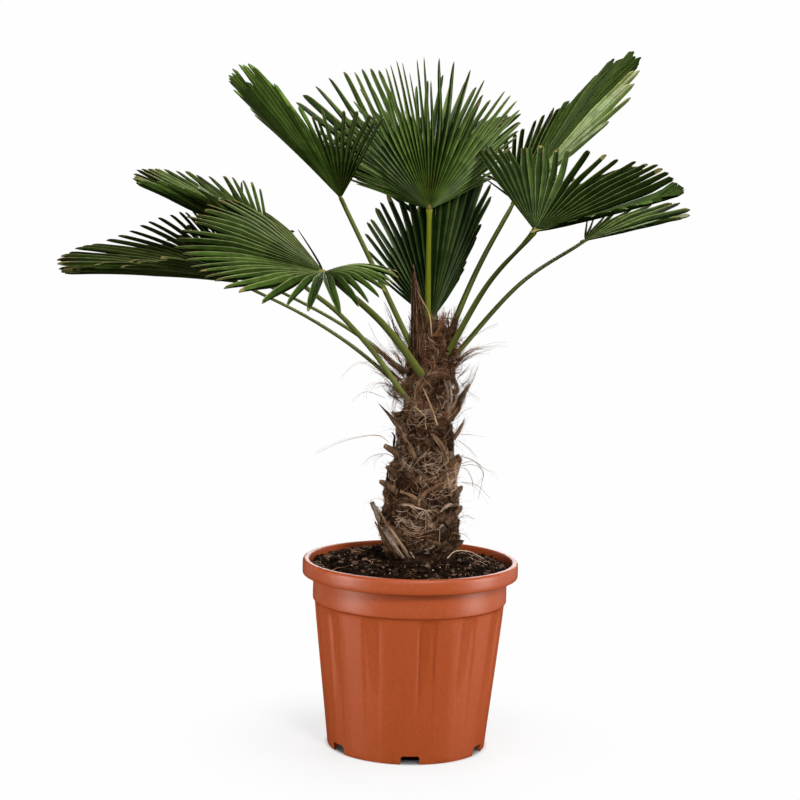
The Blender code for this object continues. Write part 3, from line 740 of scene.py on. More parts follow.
for number, (leaf, (fan, route, how)) in enumerate(LEAVES.items()):
    build, looks = build_fan(leaf, fan, seed=100 + number, **how)
    add_hub(build, fan)
    used = sorted(set(build.slots))
    build.slots = [used.index(slot) for slot in build.slots]
    piece = build.object("leaf_fan_" + leaf, [looks[slot] for slot in used])
    piece.data.set_sharp_from_angle(angle=math.radians(32))
    hand_over(piece, "fan_leaf", "fan_" + leaf + "_left", "fan_" + leaf + "_right")
    piece = build_stalk(fan, route, THICKER.get(leaf, 0.95), 3 if leaf == "front_centre" else 0).object("leaf_stalk_" + leaf, STALK)
    hand_over(piece, "leaf_stalk", "stalk_" + leaf)

# ------------------------------------------------------------------ trunk
TRUNK_ROWS = (
    (0.2740, 0.0745, 0.0135), (0.2833, 0.0710, 0.0135), (0.2920, 0.0675, 0.0135),
    (0.3060, 0.0640, 0.0136), (0.3650, 0.0595, 0.0143), (0.4000, 0.0540, 0.0152),
    (0.4380, 0.0485, 0.0165), (0.4940, 0.0415, 0.0180), (0.5510, 0.0365, 0.0205),
    (0.5950, 0.0320, 0.0225), (0.6340, 0.0265, 0.0215), (0.6600, 0.0200, 0.0200),
)


def trunk_at(z):
    for low, high in zip(TRUNK_ROWS, TRUNK_ROWS[1:]):
        if z <= high[0]:
            t = max(0.0, (z - low[0]) / (high[0] - low[0]))
            return low[1] + (high[1] - low[1]) * t, low[2] + (high[2] - low[2]) * t
    return TRUNK_ROWS[-1][1], TRUNK_ROWS[-1][2]


def trunk_point(angle, z, off=0.0):
    r, mid = trunk_at(z)
    return Vector((mid + (r + off) * math.cos(angle), (r + off) * math.sin(angle), z))


# old leaf bases, in a spiral: place round the stem, foot, height, half width, how proud
rng = random.Random(5)
SCALES = []
for n in range(36):
    SCALES.append((n * 2.399 + rng.uniform(-0.3, 0.3), 0.243 + 0.0114 * n + rng.uniform(-0.005, 0.005),
                   rng.uniform(0.044, 0.060), rng.uniform(0.75, 1.20), rng.uniform(0.6, 1.35)))


def relief(a, z):
    """How far the matted surface stands off the smooth cone."""
    p = trunk_point(a, z)
    edge = noise.fractal(Vector((p.x * 70, p.y * 70, p.z * 30)), 0.8, 2.0, 3)
    best = -0.0098
    for b, foot, height, half, proud in SCALES:
        if not foot < z < foot + height * 1.2:
            continue
        s = ((a - b + math.pi) % math.tau - math.pi) / half
        if abs(s) >= 1:
            continue
        top = foot + height * (1 - 0.42 * s * s + 0.16 * edge)
        if z > top:
            continue
        t = (z - foot) / (top - foot)
        best = max(best, -0.0090 + 0.0098 * proud * t**1.4 * (1 - 0.55 * s * s))
    slim = 1 - 0.65 * smooth_step((z - 0.56) / 0.06)
    rough = noise.fractal(p * 60, 0.7, 2.2, 5) * 0.0024
    lines = noise.noise(Vector((p.x * 190 + p.z * 90, p.y * 190, p.z * 130))) * 0.0011
    foot_in = 0.0160 * smooth_step((0.314 - z) / 0.026) + 0.012 * smooth_step((z - 0.600 + 0.01 * edge) / 0.045)
    return best * slim + rough * (0.5 + 0.5 * slim) + lines - foot_in + 0.0008


LOW, HIGH, AROUND, RISE = 0.2745, 0.630, 204, 204
lie = np.zeros((RISE + 1, AROUND))
build = Builder()
rings = []
for n in range(RISE + 1):
    z = LOW + (HIGH - LOW) * n / RISE
    ring = []
    for k in range(AROUND):
        a = math.tau * k / AROUND
        off = relief(a, z)
        lie[n, k] = off
        ring.append(trunk_point(a, z, off))
    rings.append(ring)
# deep places and the bottom rows take the near-black bark: painted shade, as well as lying deeper
near = sum(np.roll(lie, (i, j), (0, 1)) for i in (-9, -5, 0, 5, 9) for j in (-9, -5, 0, 5, 9)) / 25


def hollow_shade_slot(i, k):
    if i < 8:
        return 0
    return 3 if lie[min(i, RISE - 1), k] - near[min(i, RISE - 1), k] > 0.0006 else 0


build.loft(rings, hollow_shade_slot, cap_slot=0)
hand_over(build.object("trunk_relief", TRUNK), "trunk_fibre", "trunk")


def lies(a, z):
    """The relief's offset at a place, read back from the mesh."""
    i = max(0, min(RISE, (z - LOW) / (HIGH - LOW) * RISE))
    k = (a / math.tau * AROUND) % AROUND
    i0, k0 = min(RISE - 1, int(i)), int(k) % AROUND
    u, v = i - i0, k - int(k)
    k1 = (k0 + 1) % AROUND
    return float((lie[i0, k0] * (1 - v) + lie[i0, k1] * v) * (1 - u) + (lie[i0 + 1, k0] * (1 - v) + lie[i0 + 1, k1] * v) * u)


def on_trunk(x, y, off=0.0):
    """The place on the front of the stem under a place in the picture."""
    depth = -0.04
    for _ in range(8):
        p = seen_at(x, y, depth)
        r, mid = trunk_at(p.z)
        a = math.atan2(depth, p.x - mid)
        r += lies(a, p.z)
        across = p.x - mid
        depth = -math.sqrt(max(0.0, r * r - across * across))
    p = seen_at(x, y, depth)
    _, mid = trunk_at(p.z)
    out = Vector((p.x - mid, min(-0.2 * r, p.y), 0)).normalized()
    return p + out * off


def outward(p):
    _, mid = trunk_at(p.z)
    out = Vector((p.x - mid, p.y, 0))
    return out.normalized() if out.length > 1e-4 else Vector((0, -1, 0))


def ribbon(build, pts, widths, thick, slot, rng, ragged=0.12, cup=0.0, turn=0.0, steps=14, forward=0.0):
    """A flat torn strip that lies along its path, facing away from the stem."""
    path = path_through(pts, steps)
    rings = []
    for n, p in enumerate(path):
        t = n / steps
        way = (path[min(n + 1, steps)] - path[max(n - 1, 0)]).normalized()
        out = outward(p).lerp(Vector((0, -1, 0)), forward)
        out = (out - way * out.dot(way)).normalized()
        side = way.cross(out)
        c, s_ = math.cos(turn * t), math.sin(turn * t)
        side, out = side * c + out * s_, out * c - side * s_
        w = t * (len(widths) - 1)
        i = min(len(widths) - 2, int(w))
        half = 0.5 * (widths[i] + (widths[i + 1] - widths[i]) * (w - i))
        ring = []
        jig = [1 + rng.uniform(-ragged, ragged) for _ in range(5)]
        for m, u in enumerate((-1, -0.5, 0, 0.5, 1)):
            ring.append(p + side * u * half * jig[m] + out * (thick * 0.5 * (1.2 - u * u) + cup * half * u * u
                                                              + thick * 0.5 * (jig[4 - m] - 1)))
        for m, u in enumerate((0.6, 0, -0.6)):
            ring.append(p + side * u * half * jig[m] + out * (-thick * 0.5 + cup * half * u * u))
        rings.append(ring)
    slots = slot if callable(slot) else (lambda i, k: slot)
    build.loft(rings, slots, cap_slot=slots(0, 0))


def strand(build, path, radius, slot, sides=3, taper=0.55):
    if len(path) < 2:
        return
    rings = []
    for n, p in enumerate(path):
        way = path[min(n + 1, len(path) - 1)] - path[max(n - 1, 0)]
        if way.length < 1e-9:
            way = Vector((0, 0, 1))
        way.normalize()
        side = way.cross(Vector((0.31, 0.22, 0.92)))
        if side.length < 1e-3:
            side = Vector((1, 0, 0))
        side.normalize()
        top = side.cross(way)
        r = radius * (1 - taper * n / (len(path) - 1))
        rings.append([p + side * r * math.cos(a) + top * r * math.sin(a)
                      for a in (math.tau * k / sides for k in range(sides))])
    build.loft(rings, slot, cap_slot=slot)


BARK_AND_SHADE, BASE, BASE_GREY, BASE_DARK, STRAW = range(5)
rng = random.Random(7)
build = Builder()


def stub(points, width, thick, slot, end_slot=None):
    """The blunt torn foot of an old stalk."""
    steps = 8
    path = path_through(points, steps)
    rings = []
    for n, p in enumerate(path):
        way = (path[min(n + 1, steps)] - path[max(n - 1, 0)]).normalized()
        out = outward(p)
        side = way.cross(out).normalized()
        out = side.cross(way)
        t = n / steps
        size = (1.15 - 0.30 * t) * (1 if n < steps else 0.72)
        rings.append([p + side * 0.5 * width * size * math.cos(a) * rng.uniform(0.82, 1.15)
                      + out * 0.5 * thick * size * math.sin(a) * rng.uniform(0.8, 1.15)
                      for a in (math.tau * k / 12 for k in range(12))])
    build.loft(rings, lambda i, k: (end_slot if end_slot is not None and i >= steps - 1 else slot), cap_slot=end_slot if end_slot is not None else slot)


# the ones whose outline the picture shows, from the inside out
for places, width, thick, slot, end_slot in (
    (((404, 465, -0.030), (395, 453, -0.022), (384.5, 445.5, -0.014)), 0.0125, 0.0080, BASE_DARK, BASE),
    (((408, 482, -0.034), (397, 474, -0.026), (386.5, 466.5, -0.016)), 0.0110, 0.0080, BASE_DARK, BASE),
    (((398, 492, -0.030), (389, 486, -0.020), (380, 481.5, -0.010)), 0.0110, 0.0080, BASE_DARK, BASE),
    (((388, 530, -0.026), (382, 524, -0.020), (378, 518.5, -0.014)), 0.0100, 0.0080, BASE_DARK, BASE),
    (((448, 468, -0.034), (453, 461, -0.028), (459.3, 455.5, -0.020)), 0.0095, 0.0065, BASE_DARK, BASE),
    (((452, 502, -0.034), (457, 494, -0.026), (461.8, 486.5, -0.018)), 0.0095, 0.0065, BASE_DARK, BASE_DARK),
    (((446, 524, -0.048), (455, 515, -0.040), (461.5, 507, -0.026)), 0.0100, 0.0065, BASE_DARK, BASE_DARK),
):
    stub([seen_at(*q) for q in places], width, thick, slot, end_slot)
# the rest of them, by the same rule, where the picture can't show them
for b, foot, height, half, proud in SCALES:
    z = foot + height * 0.82
    c = (b + math.pi / 2) % math.tau
    if not 0.320 < z < 0.60 or min(c, math.tau - c) < 1.15:
        continue
    size = 1 - 0.4 * (z - 0.3) / 0.3
    start = trunk_point(b, z - 0.014, -0.004)
    stub([start, trunk_point(b, z, 0.001), trunk_point(b + rng.uniform(-0.1, 0.1), z + 0.012, 0.004 + 0.006 * rng.random())],
         0.015 * size, 0.0075 * size, BASE_DARK, BASE)

# torn sheaths and straws on the front: path in the picture, stand-off in mm, widths in mm, colour
FRONT = (
    # the grey split foot at the left
    (((404, 556, 1.5), (392, 537, 2.5), (381, 518, 3.0), (374.2, 502, 3.5)), (17, 14, 10, 6.5), BASE_DARK, 1.6),
    (((409, 556, 2.0), (398, 538, 3.2), (388, 522, 3.5), (379, 506, 3.5)), (3, 4, 3, 1.5), BASE, 1.0),
    (((399, 558, 2.4), (388, 541, 3.6), (378, 522, 4.2)), (4, 4, 3), BASE_DARK, 1.2),
    # the long pointed one above it
    (((416.5, 460, 2.5), (408, 439, 4.2), (397, 420, 5.5), (379, 404, 10)), (7, 9, 7, 0.7), BASE_DARK, 1.4),
    (((416, 458, 3.6), (410, 441, 5.2), (402, 425, 6.0)), (3.5, 4.5, 1.5), BASE, 1.0),
    # the horn at the right
    (((446, 420, 1.0), (454, 405, 3.5), (463, 393, 9.0), (470, 384, 12.0)), (11, 13, 9, 1.0), BASE_DARK, 2.0),
    (((450, 421, 2.0), (456, 409, 4.0), (461, 401, 8.0), (465, 394, 10)), (6, 6, 4, 1), BASE, 1.0),
    # a pointed one below it
    (((452, 440, 1.0), (456, 431, 2.5), (461, 419, 5.0)), (5, 4, 0.6), BASE_DARK, 1.0),
    # the tan straw inside the hoop
    (((437, 425, 1.5), (431, 407, 2.5), (423.4, 387, 3.5)), (1.8, 3.0, 1.4), STRAW, 0.8),
    (((427, 418, 1.2), (417, 408, 2.2), (404.6, 396.5, 3.5)), (1.2, 1.8, 0.8), STRAW, 0.6),
    (((428, 436, 1.0), (426, 427, 1.6), (425, 418, 2.0)), (0.8, 1.5, 0.8), STRAW, 0.5),
    # tufts and straws lower down
    (((446, 463, 2.5), (441, 449, 3.8), (431.5, 435, 4.2)), (1.2, 3.6, 4.5), BASE, 0.8),
    (((423.4, 487, 2.0), (434, 474, 3.0), (444.5, 461, 3.0)), (0.8, 1.6, 1.2), STRAW, 0.6),
    (((448.4, 488, 1.5), (446.5, 476, 2.5), (444.5, 464, 2.5)), (0.8, 1.8, 1.4), STRAW, 0.6),
    (((420, 501, 1.5), (411, 495, 3.0), (402, 491.5, 4.0)), (5.5, 4.5, 2.5), STRAW, 1.4),
    (((421, 500, 1.5), (427, 491, 3.0), (437, 487, 4.0)), (6.5, 5.0, 2.5), BASE, 1.2),
    (((425.4, 531, 2.0), (425.6, 521, 3.0), (425.7, 511, 3.6)), (0.5, 1.0, 0.8), STRAW, 0.5),
    (((435.9, 551, 2.0), (438.4, 540, 3.0), (438.6, 529, 3.6)), (0.5, 0.9, 0.7), STRAW, 0.5),
    # brown wisps beside the left stalks
    (((407, 348, 0.0), (398, 331, 4.0), (391, 315, 8.0), (384, 302, 12.0)), (2.0, 1.8, 1.2, 0.4), BASE, 0.7),
    (((404, 352, 0.0), (396, 336, 4.0), (388, 321, 8.0)), (1.8, 1.4, 0.4), BASE_DARK, 0.6),
    (((404, 374, 0.0), (390, 360, 5.0), (377, 347, 9.0), (366, 338, 13.0)), (4, 3, 1.6, 0.4), BASE_DARK, 0.8),
    (((402, 380, 0.0), (388, 369, 5.0), (374, 362, 9.0)), (3, 2, 0.5), BASE_DARK, 0.7),
    # and beside the right ones
    (((448, 372, 1.0), (456, 361, 4.0), (464, 355, 8.0)), (6, 4, 0.6), BASE_DARK, 0.9),
    (((453, 362, 1.0), (463, 354, 6.0), (478, 348, 10.0)), (2.0, 1.6, 0.4), BASE, 0.6),
    (((446, 352, 1.0), (450, 338, 3.0), (456, 326, 6.0)), (3, 2.5, 0.5), BASE_DARK, 0.8),
)
for places, widths, slot, thick in FRONT:
    pts = []
    for x, y, off in places:
        p = on_trunk(x, y, 0.0)
        edge = off > 7.9
        pts.append(on_trunk(x, y, off / 1000) if not edge else seen_at(x, y, -0.012 - off / 3000))
    ribbon(build, pts, [w / 1000 for w in widths], thick / 1000, slot, rng, cup=rng.uniform(-0.2, 0.25),
           turn=rng.uniform(-0.3, 0.3), forward=0.75)
# the crown shaft: a tall torn sheath in front of the youngest leaf, by picture row, left edge and right edge
TALL = ((362, 410.0, 431.0), (340, 410.8, 428.5), (320, 411.2, 425.5), (300, 411.6, 420.8), (282, 412.2, 417.6), (263, 413.2, 413.8))


def tall(u, y, off=0.0):
    """A place on it: u runs from -1 at its left edge to 1 at its right."""
    for low, high in zip(TALL, TALL[1:]):
        if y >= high[0]:
            break
    t = max(-0.2, min(1.0, (low[0] - y) / (low[0] - high[0])))
    left = low[1] + (high[1] - low[1]) * t
    right_ = low[2] + (high[2] - low[2]) * t
    return seen_at(left + (right_ - left) * (u + 1) / 2, y, -0.0320 - 0.0045 * (1 - u * u) - (362 - y) * 0.00006 - off)


levels = (362, 342, 322, 303, 284, 266)
ribbon(build, [tall(0, y, -0.0025) for y in levels], [0.88 * (tall(1, y) - tall(-1, y)).length for y in levels],
       0.0012, BARK_AND_SHADE, rng, ragged=0.05, cup=-0.12, forward=0.95, steps=20)
for u, foot, top, width, slot in (
    (-0.90, 340, 268, 1.2, BASE_DARK), (-0.50, 330, 280, 1.4, BARK_AND_SHADE), (-0.10, 312, 266, 2.0, BASE), (0.20, 350, 290, 1.6, BARK_AND_SHADE),
    (0.50, 310, 276, 1.4, BASE_DARK), (0.85, 345, 296, 1.4, BARK_AND_SHADE), (1.05, 335, 318, 1.8, BASE_DARK), (0.6, 350, 324, 2.0, BASE_DARK),
):
    ys = [foot + (top - foot) * t for t in (0, 0.33, 0.66, 1)]
    ribbon(build, [tall(u + rng.uniform(-0.06, 0.06), y, 0.0008) for y in ys], [width / 1000 * k for k in (1, 1, 0.8, 0.2)],
           0.0007, slot, rng, ragged=0.35, cup=rng.uniform(-0.2, 0.3), turn=rng.uniform(-0.2, 0.2), forward=0.9, steps=22)
ribbon(build, [seen_at(x, y, d / 1000) for x, y, d in ((431.8, 336, -43), (429.5, 315, -43), (422, 300, -43), (414.6, 285, -42))],
       [0.0014, 0.0022, 0.0018, 0.0005], 0.0007, STRAW, rng, forward=0.9)
# what stands right of the youngest leaf's foot
for x, foot, top, width, slot in ((440, 352, 322, 5, BARK_AND_SHADE), (447, 352, 328, 5, BARK_AND_SHADE), (453, 354, 332, 4, BARK_AND_SHADE), (434, 352, 326, 5, BARK_AND_SHADE),
                                  (443.5, 334, 313, 3, BASE_DARK), (441.5, 330, 315, 1.6, BASE)):
    ribbon(build, [seen_at(x, y, -0.001 * (33 - 0.5 * max(0, x - 440))) for y in (foot, 0.5 * (foot + top), top)],
           [width / 1000, width / 1000, 0.0006], 0.0008, slot, rng, ragged=0.3, cup=rng.uniform(-0.1, 0.3), forward=0.9, steps=9)
for n in range(40):
    a = n * 2.399
    c = (a + math.pi / 2) % math.tau
    front = min(c, math.tau - c) < 1.3
    z = rng.uniform(0.552, 0.580)
    length = rng.uniform(0.020, 0.034) if front else rng.uniform(0.036, 0.062)
    half = 0.0040 if front else 0.0065
    ribbon(build, [trunk_point(a + rng.uniform(-0.1, 0.1) * t, z + length * t, -0.004 * front + 0.001 - 0.001 * t) for t in (0, 0.4, 0.8, 1)],
           [half, half, 0.6 * half, 0.0006], 0.0010, BARK_AND_SHADE if front else rng.choice((BASE_DARK, BASE_DARK, BARK_AND_SHADE)), rng,
           ragged=0.3, cup=rng.uniform(-0.1, 0.4), turn=rng.uniform(-0.3, 0.3), steps=9)
# torn sheaths round the rest of the stem
for n in range(64):
    z = 0.315 + 0.315 * (n / 64) ** 0.85
    a = n * 2.399 + rng.uniform(-0.5, 0.5)
    c = (a + math.pi / 2) % math.tau
    if min(c, math.tau - c) < 1.75 and z < 0.60:
        continue
    size = 1 - 0.35 * (z - 0.3) / 0.33
    length = rng.uniform(0.020, 0.045)
    lean = rng.uniform(-0.35, 0.35)
    up = [trunk_point(a + lean * t, min(0.66, z + length * t), lies(a, z) + 0.001 + 0.012 * t * t * rng.random()) for t in (0, 0.4, 0.75, 1)]
    ribbon(build, up, [0.010 * size, 0.011 * size, 0.007 * size, 0.0008], 0.0012,
           rng.choice((BASE_DARK, BASE_DARK, BASE, BASE_GREY)), rng, cup=rng.uniform(-0.2, 0.3), turn=rng.uniform(-0.5, 0.5), steps=9)
hand_over(build.object("trunk_leaf_bases", TRUNK), "trunk_fibre")


# fibre: a mat whose strands run together in wisps and swathes, with others across them
def mat_strands(name, seed, number, low, high, weights, lift=0.0026, swing=2.6):
    rng = random.Random(seed)
    build = Builder()
    made = 0
    while made < number:
        z = rng.uniform(low, high)
        a = rng.uniform(0, math.tau)
        r, _ = trunk_at(z)
        p = trunk_point(a, z)
        flow = noise.noise(p * 24 + Vector((3, 1, 7))) * swing
        slant = flow + rng.gauss(0, 0.30) if rng.random() < 0.70 else rng.uniform(-1.4, 1.4)
        length = rng.uniform(0.010, 0.034)
        bow = rng.uniform(-0.9, 0.9)
        off = rng.uniform(0.0, lift) * rng.random()
        shade = noise.noise(p * 16 + Vector((9, 4, 2)))
        # painted shade: strands at set picture places are darker inside the hoop, in a strip at the left and along the
        # foot where the stem meets the soil; around (428, 455) they are made paler
        if p.y < 0:
            px, py = seen_from_camera(p)
            shade -= 0.9 * math.exp(-(((px - 435) / 13) ** 2 + ((py - 394) / 13) ** 2))
            shade += 0.5 * math.exp(-(((px - 428) / 22) ** 2 + ((py - 455) / 9) ** 2))
            shade -= 0.5 * math.exp(-(((px - 400) / 9) ** 2 + ((py - 480) / 30) ** 2))
            shade -= 0.6 * math.exp(-((py - 552) / 8) ** 2)
        lean = [w * math.exp(shade * k) for w, k in zip(weights, (-3.5, -1.0, 0.5, 2.2, 3.2))]
        slot = rng.choices(range(6), (*lean, lean[4] * 0.6))[0]
        pale = slot > 2
        for _ in range(rng.choice((1, 1, 2) if pale else (2, 3, 4))):
            a1, z1 = a + rng.gauss(0, 0.0007) / max(r, 0.02), z + rng.gauss(0, 0.0007)
            slant1, length1 = slant + rng.gauss(0, 0.07), length * rng.uniform(0.6, 1.1)
            wob, ph = rng.uniform(0.0002, 0.0012), rng.uniform(0, 6)
            pts = []
            for k in range(5):
                t = k / 4
                s = length1 * (t - 0.5)
                turn = slant1 + bow * (t - 0.5)
                zz = min(0.622, max(0.282, z1 + s * math.sin(turn)))
                aa = a1 + s * math.cos(turn) / max(r, 0.02)
                pts.append(trunk_point(aa, zz, lies(aa, zz) + 0.0002 + off + 0.0008 * pale + wob * math.sin(ph + 7 * t)))
            strand(build, pts, rng.uniform(0.00022, 0.00040) if pale else rng.uniform(0.00013, 0.00027), slot)
            made += 1
    return hand_over(build.object(name, FIBRE, smooth=False), "trunk_fibre")


mat_strands("trunk_fibre_low", 11, 3700, 0.286, 0.40, (0.46, 0.30, 0.05, 0.14, 0.08), swing=1.4)
mat_strands("trunk_fibre_mid", 12, 4100, 0.39, 0.52, (0.31, 0.26, 0.12, 0.27, 0.16))
mat_strands("trunk_fibre_high", 13, 3200, 0.51, 0.622, (0.44, 0.20, 0.16, 0.25, 0.09), 0.004)

# frayed ends above the torn edges, and bundles with a place of their own
rng = random.Random(17)
build = Builder()
for b, foot, height, half, proud in SCALES:
    z = foot + height
    if not 0.30 < z < 0.625:
        continue
    high = smooth_step((z - 0.45) / 0.12)
    for _ in range(int(22 + 50 * high)):
        s = rng.uniform(-0.9, 0.9)
        a = b + s * half
        z0 = foot + height * (1 - 0.42 * s * s) - rng.uniform(0.0, 0.012)
        if not 0.285 < z0 < 0.625:
            continue
        start = trunk_point(a, z0, lies(a, z0))
        out = Vector((math.cos(a), math.sin(a), 0))
        around = Vector((-math.sin(a), math.cos(a), 0))
        way = (out * rng.uniform(0.05, 0.55) + around * rng.gauss(0, 0.5) + Vector((0, 0, rng.uniform(0.3, 1.0)))).normalized()
        curl = (out * rng.uniform(-0.3, 0.6) + around * rng.gauss(0, 0.6) + Vector((0, 0, rng.uniform(-0.7, 0.2)))) * 0.8
        length = rng.uniform(0.008, 0.020 + 0.014 * high)
        pts = [start + way * length * t + curl * length * t * t for t in (k / 5 for k in range(6))]
        strand(build, pts, rng.uniform(0.00013, 0.00028), rng.choices(range(5), (0.20, 0.40, 0.14, 0.20, 0.06))[0], taper=0.8)
hand_over(build.object("trunk_fibre_edges", FIBRE, smooth=False), "trunk_fibre")
build = Builder()


def bundle(places, number, spread, slots, radius=(0.00015, 0.00028), fray=1.0, steps=9, curl=0.0006):
    """Many strands along one path, given as picture places and stand-off in mm."""
    pts = []
    for x, y, off in places:
        pts.append(on_trunk(x, y, off / 1000) if off < 7.9 else seen_at(x, y, -0.012 - off / 3000))
    spray(pts, number, spread, slots, radius, fray, steps, curl)


def spray(pts, number, spread, slots, radius=(0.00015, 0.00028), fray=1.0, steps=9, curl=0.0006):
    path = path_through(pts, steps)
    for _ in range(number):
        jig = Vector([rng.gauss(0, 1) for _ in range(3)]) * spread
        drift = Vector([rng.gauss(0, 1) for _ in range(3)]) * spread * fray
        ph = rng.uniform(0, 6)
        first = rng.randint(0, steps // 4) if number > 4 else 0
        last = steps - (rng.randint(0, steps // 3) if number > 4 else 0)
        waves = [(rng.uniform(0.5, 1.8) * math.tau / steps, rng.uniform(0, 6)) for _ in range(3)]
        line = [path[k] + jig * (0.5 + 0.5 * math.sin(ph + 5 * k / steps)) + drift * (k / steps) ** 2
                + Vector([math.sin(f * k + q) for f, q in waves]) * curl for k in range(first, last + 1)]
        slot = rng.choice(slots)
        strand(build, line, rng.uniform(*radius) * (1.45 if slot > 2 else 1.0), slot, taper=0.7)


F_DARK, F_BROWN, F_RED, F_TAN, F_PALE, F_GREY = range(6)
# along the torn sheaths
for places, widths, slot, thick in FRONT:
    if slot != STRAW:
        bundle(tuple((x, y, off + 0.7 * (off < 7)) for x, y, off in places), int(5 + 1.5 * max(widths)), max(widths) / 3600,
               (F_DARK, F_DARK, F_BROWN, F_BROWN, F_TAN), fray=0.5, steps=9)
# the hoop, and what hangs inside and beside it
hoop = ((416, 412, 2.0), (417.5, 393, 4.0), (424.3, 377.5, 6.0), (436.8, 371.3, 7.0), (447.5, 376, 6.5), (453, 388, 4.0), (455, 402, 2.0))
hoop = tuple((x, y, min(7.8, off + 0.8)) for x, y, off in hoop)
for n in range(17):
    shape = tuple((x + rng.gauss(0, 1.7), y + rng.gauss(0, 1.5), max(1.0, min(7.8, off + rng.gauss(0, 0.8)))) for x, y, off in hoop)
    bundle(shape[rng.randint(0, 2):rng.randint(5, 7)], 6, 0.0007, rng.choice(((F_TAN, F_TAN, F_PALE), (F_BROWN, F_RED, F_BROWN), (F_TAN, F_BROWN))),
           steps=14, curl=0.0007)
bundle(tuple((x + 1.2, y + 3.5, off - 1) for x, y, off in hoop), 50, 0.0026, (F_DARK, F_BROWN, F_RED, F_BROWN, F_TAN), steps=14, curl=0.0012)
bundle(((437, 372, 6.0), (448, 377, 6.0), (454, 388, 4.5), (453, 402, 3.0)), 60, 0.0028, (F_BROWN, F_TAN, F_BROWN, F_DARK), curl=0.0010)
bundle(((441, 374, 6.0), (445, 389, 4.5), (446, 405, 3.5), (447, 418, 2.5)), 24, 0.0015, (F_TAN, F_PALE, F_GREY, F_BROWN))
bundle(((447, 380, 5.0), (449.5, 396, 4.5), (447, 413, 3.0)), 12, 0.0008, (F_GREY, F_PALE))
bundle(((424, 379, 5.0), (411, 386, 5.0), (404, 398, 4.0), (403, 412, 2.0)), 36, 0.0024, (F_BROWN, F_TAN, F_DARK), curl=0.0012)
bundle(((417, 376, 5.0), (406, 384, 5.0), (399, 398, 5.0), (396, 412, 4.0)), 24, 0.0020, (F_BROWN, F_TAN), curl=0.0012)
bundle(((414, 379, 6.0), (404, 380, 7.0), (398, 387, 7.0), (399, 395, 6.0), (406, 400, 4.0)), 26, 0.0013, (F_TAN, F_PALE, F_TAN), curl=0.0012)
bundle(((420, 382, 6.0), (410, 384, 7.0), (405, 391, 6.0), (407, 401, 5.0)), 22, 0.0013, (F_TAN, F_BROWN, F_PALE), curl=0.0012)
# the horn at the right, and the hair below it
bundle(((449, 416, 3.0), (456, 404, 7.0), (465, 392, 12.0), (471, 381, 14.0)), 90, 0.0024, (F_BROWN, F_BROWN, F_TAN, F_RED, F_DARK), fray=0.9)
bundle(((458, 404, 7.0), (467, 391, 12.0), (474, 378, 14.0), (479.5, 361, 16.0)), 7, 0.0007, (F_TAN, F_BROWN), fray=0.5, curl=0.0003)
bundle(((452, 441, 2.0), (457, 430, 5.0), (461.5, 418, 7.0)), 44, 0.0017, (F_BROWN, F_RED, F_TAN, F_DARK))
bundle(((450, 470, 2.0), (454, 461, 4.0), (459, 455, 6.0)), 24, 0.0014, (F_BROWN, F_RED, F_DARK))
# below it: a pale swathe, the fan of grey hair, the tuft and the white V
bundle(((431, 434, 3.0), (440, 444, 3.0), (445, 458, 2.5), (446, 470, 1.5)), 50, 0.0019, (F_TAN, F_PALE, F_PALE, F_TAN))
for n in range(18):
    x, y = rng.uniform(404, 450), rng.uniform(438, 466)
    bundle(((x, y, 1.5), (x + rng.uniform(-10, 10), y + rng.uniform(2, 10), 3.0), (x + rng.uniform(-16, 16), y + rng.uniform(4, 18), 1.5)), 4, 0.0010, (F_GREY, F_GREY, F_PALE, F_BROWN), (0.00011, 0.0002), curl=0.0010)
bundle(((402, 491, 4.0), (411, 494, 3.0), (420, 500, 2.0)), 16, 0.0010, (F_TAN, F_PALE, F_BROWN))
bundle(((419, 506, 1.5), (422, 495, 3.5), (430, 488, 4.5), (437, 487, 5.0)), 30, 0.0016, (F_TAN, F_RED, F_BROWN, F_TAN))
for x1, y1, x2, y2 in ((419, 513, 415.5, 520), (418, 508, 410, 507.5), (411, 505, 399, 504), (430, 511, 434, 515), (433, 510, 441, 514),
                       (422, 515, 419, 521), (429, 515, 432, 519)):
    bundle(((424.9, 510, 3.5), (x1, y1, 4.2), (x2, y2, 2.5)), 5, 0.0006, (F_GREY, F_PALE, F_PALE), (0.00013, 0.00022), steps=6)
bundle(((402, 505, 1.5), (412, 506, 3.0), (419, 513, 3.0)), 18, 0.0014, (F_GREY, F_BROWN, F_PALE))
bundle(((440, 512, 2.0), (448, 505, 3.0), (457, 506, 3.0), (461, 514, 2.0)), 18, 0.0014, (F_GREY, F_BROWN, F_PALE))
for n in range(20):
    x, y = rng.uniform(392, 456), rng.uniform(520, 552)
    bundle(((x, y, 1.0), (x + rng.uniform(-9, 9), y + rng.uniform(-7, 7), 2.2), (x + rng.uniform(-18, 18), min(556, y + rng.uniform(-8, 8)), 1.0)), 4, 0.0010, (F_GREY, F_GREY, F_PALE, F_BROWN), (0.00011, 0.0002), curl=0.0008)
bundle(((405, 557, 3.0), (393, 538, 4.0), (382, 519, 4.5), (374.5, 502, 4.5)), 60, 0.0026, (F_GREY, F_GREY, F_BROWN, F_DARK, F_TAN), fray=0.6)
bundle(((411, 557, 3.0), (400, 539, 4.5), (389, 522, 5.0), (379, 505, 5.0)), 24, 0.0012, (F_PALE, F_GREY, F_TAN), fray=0.6)
hand_over(build.object("trunk_fibre_tufts", FIBRE, smooth=False), "trunk_fibre")
build = Builder()
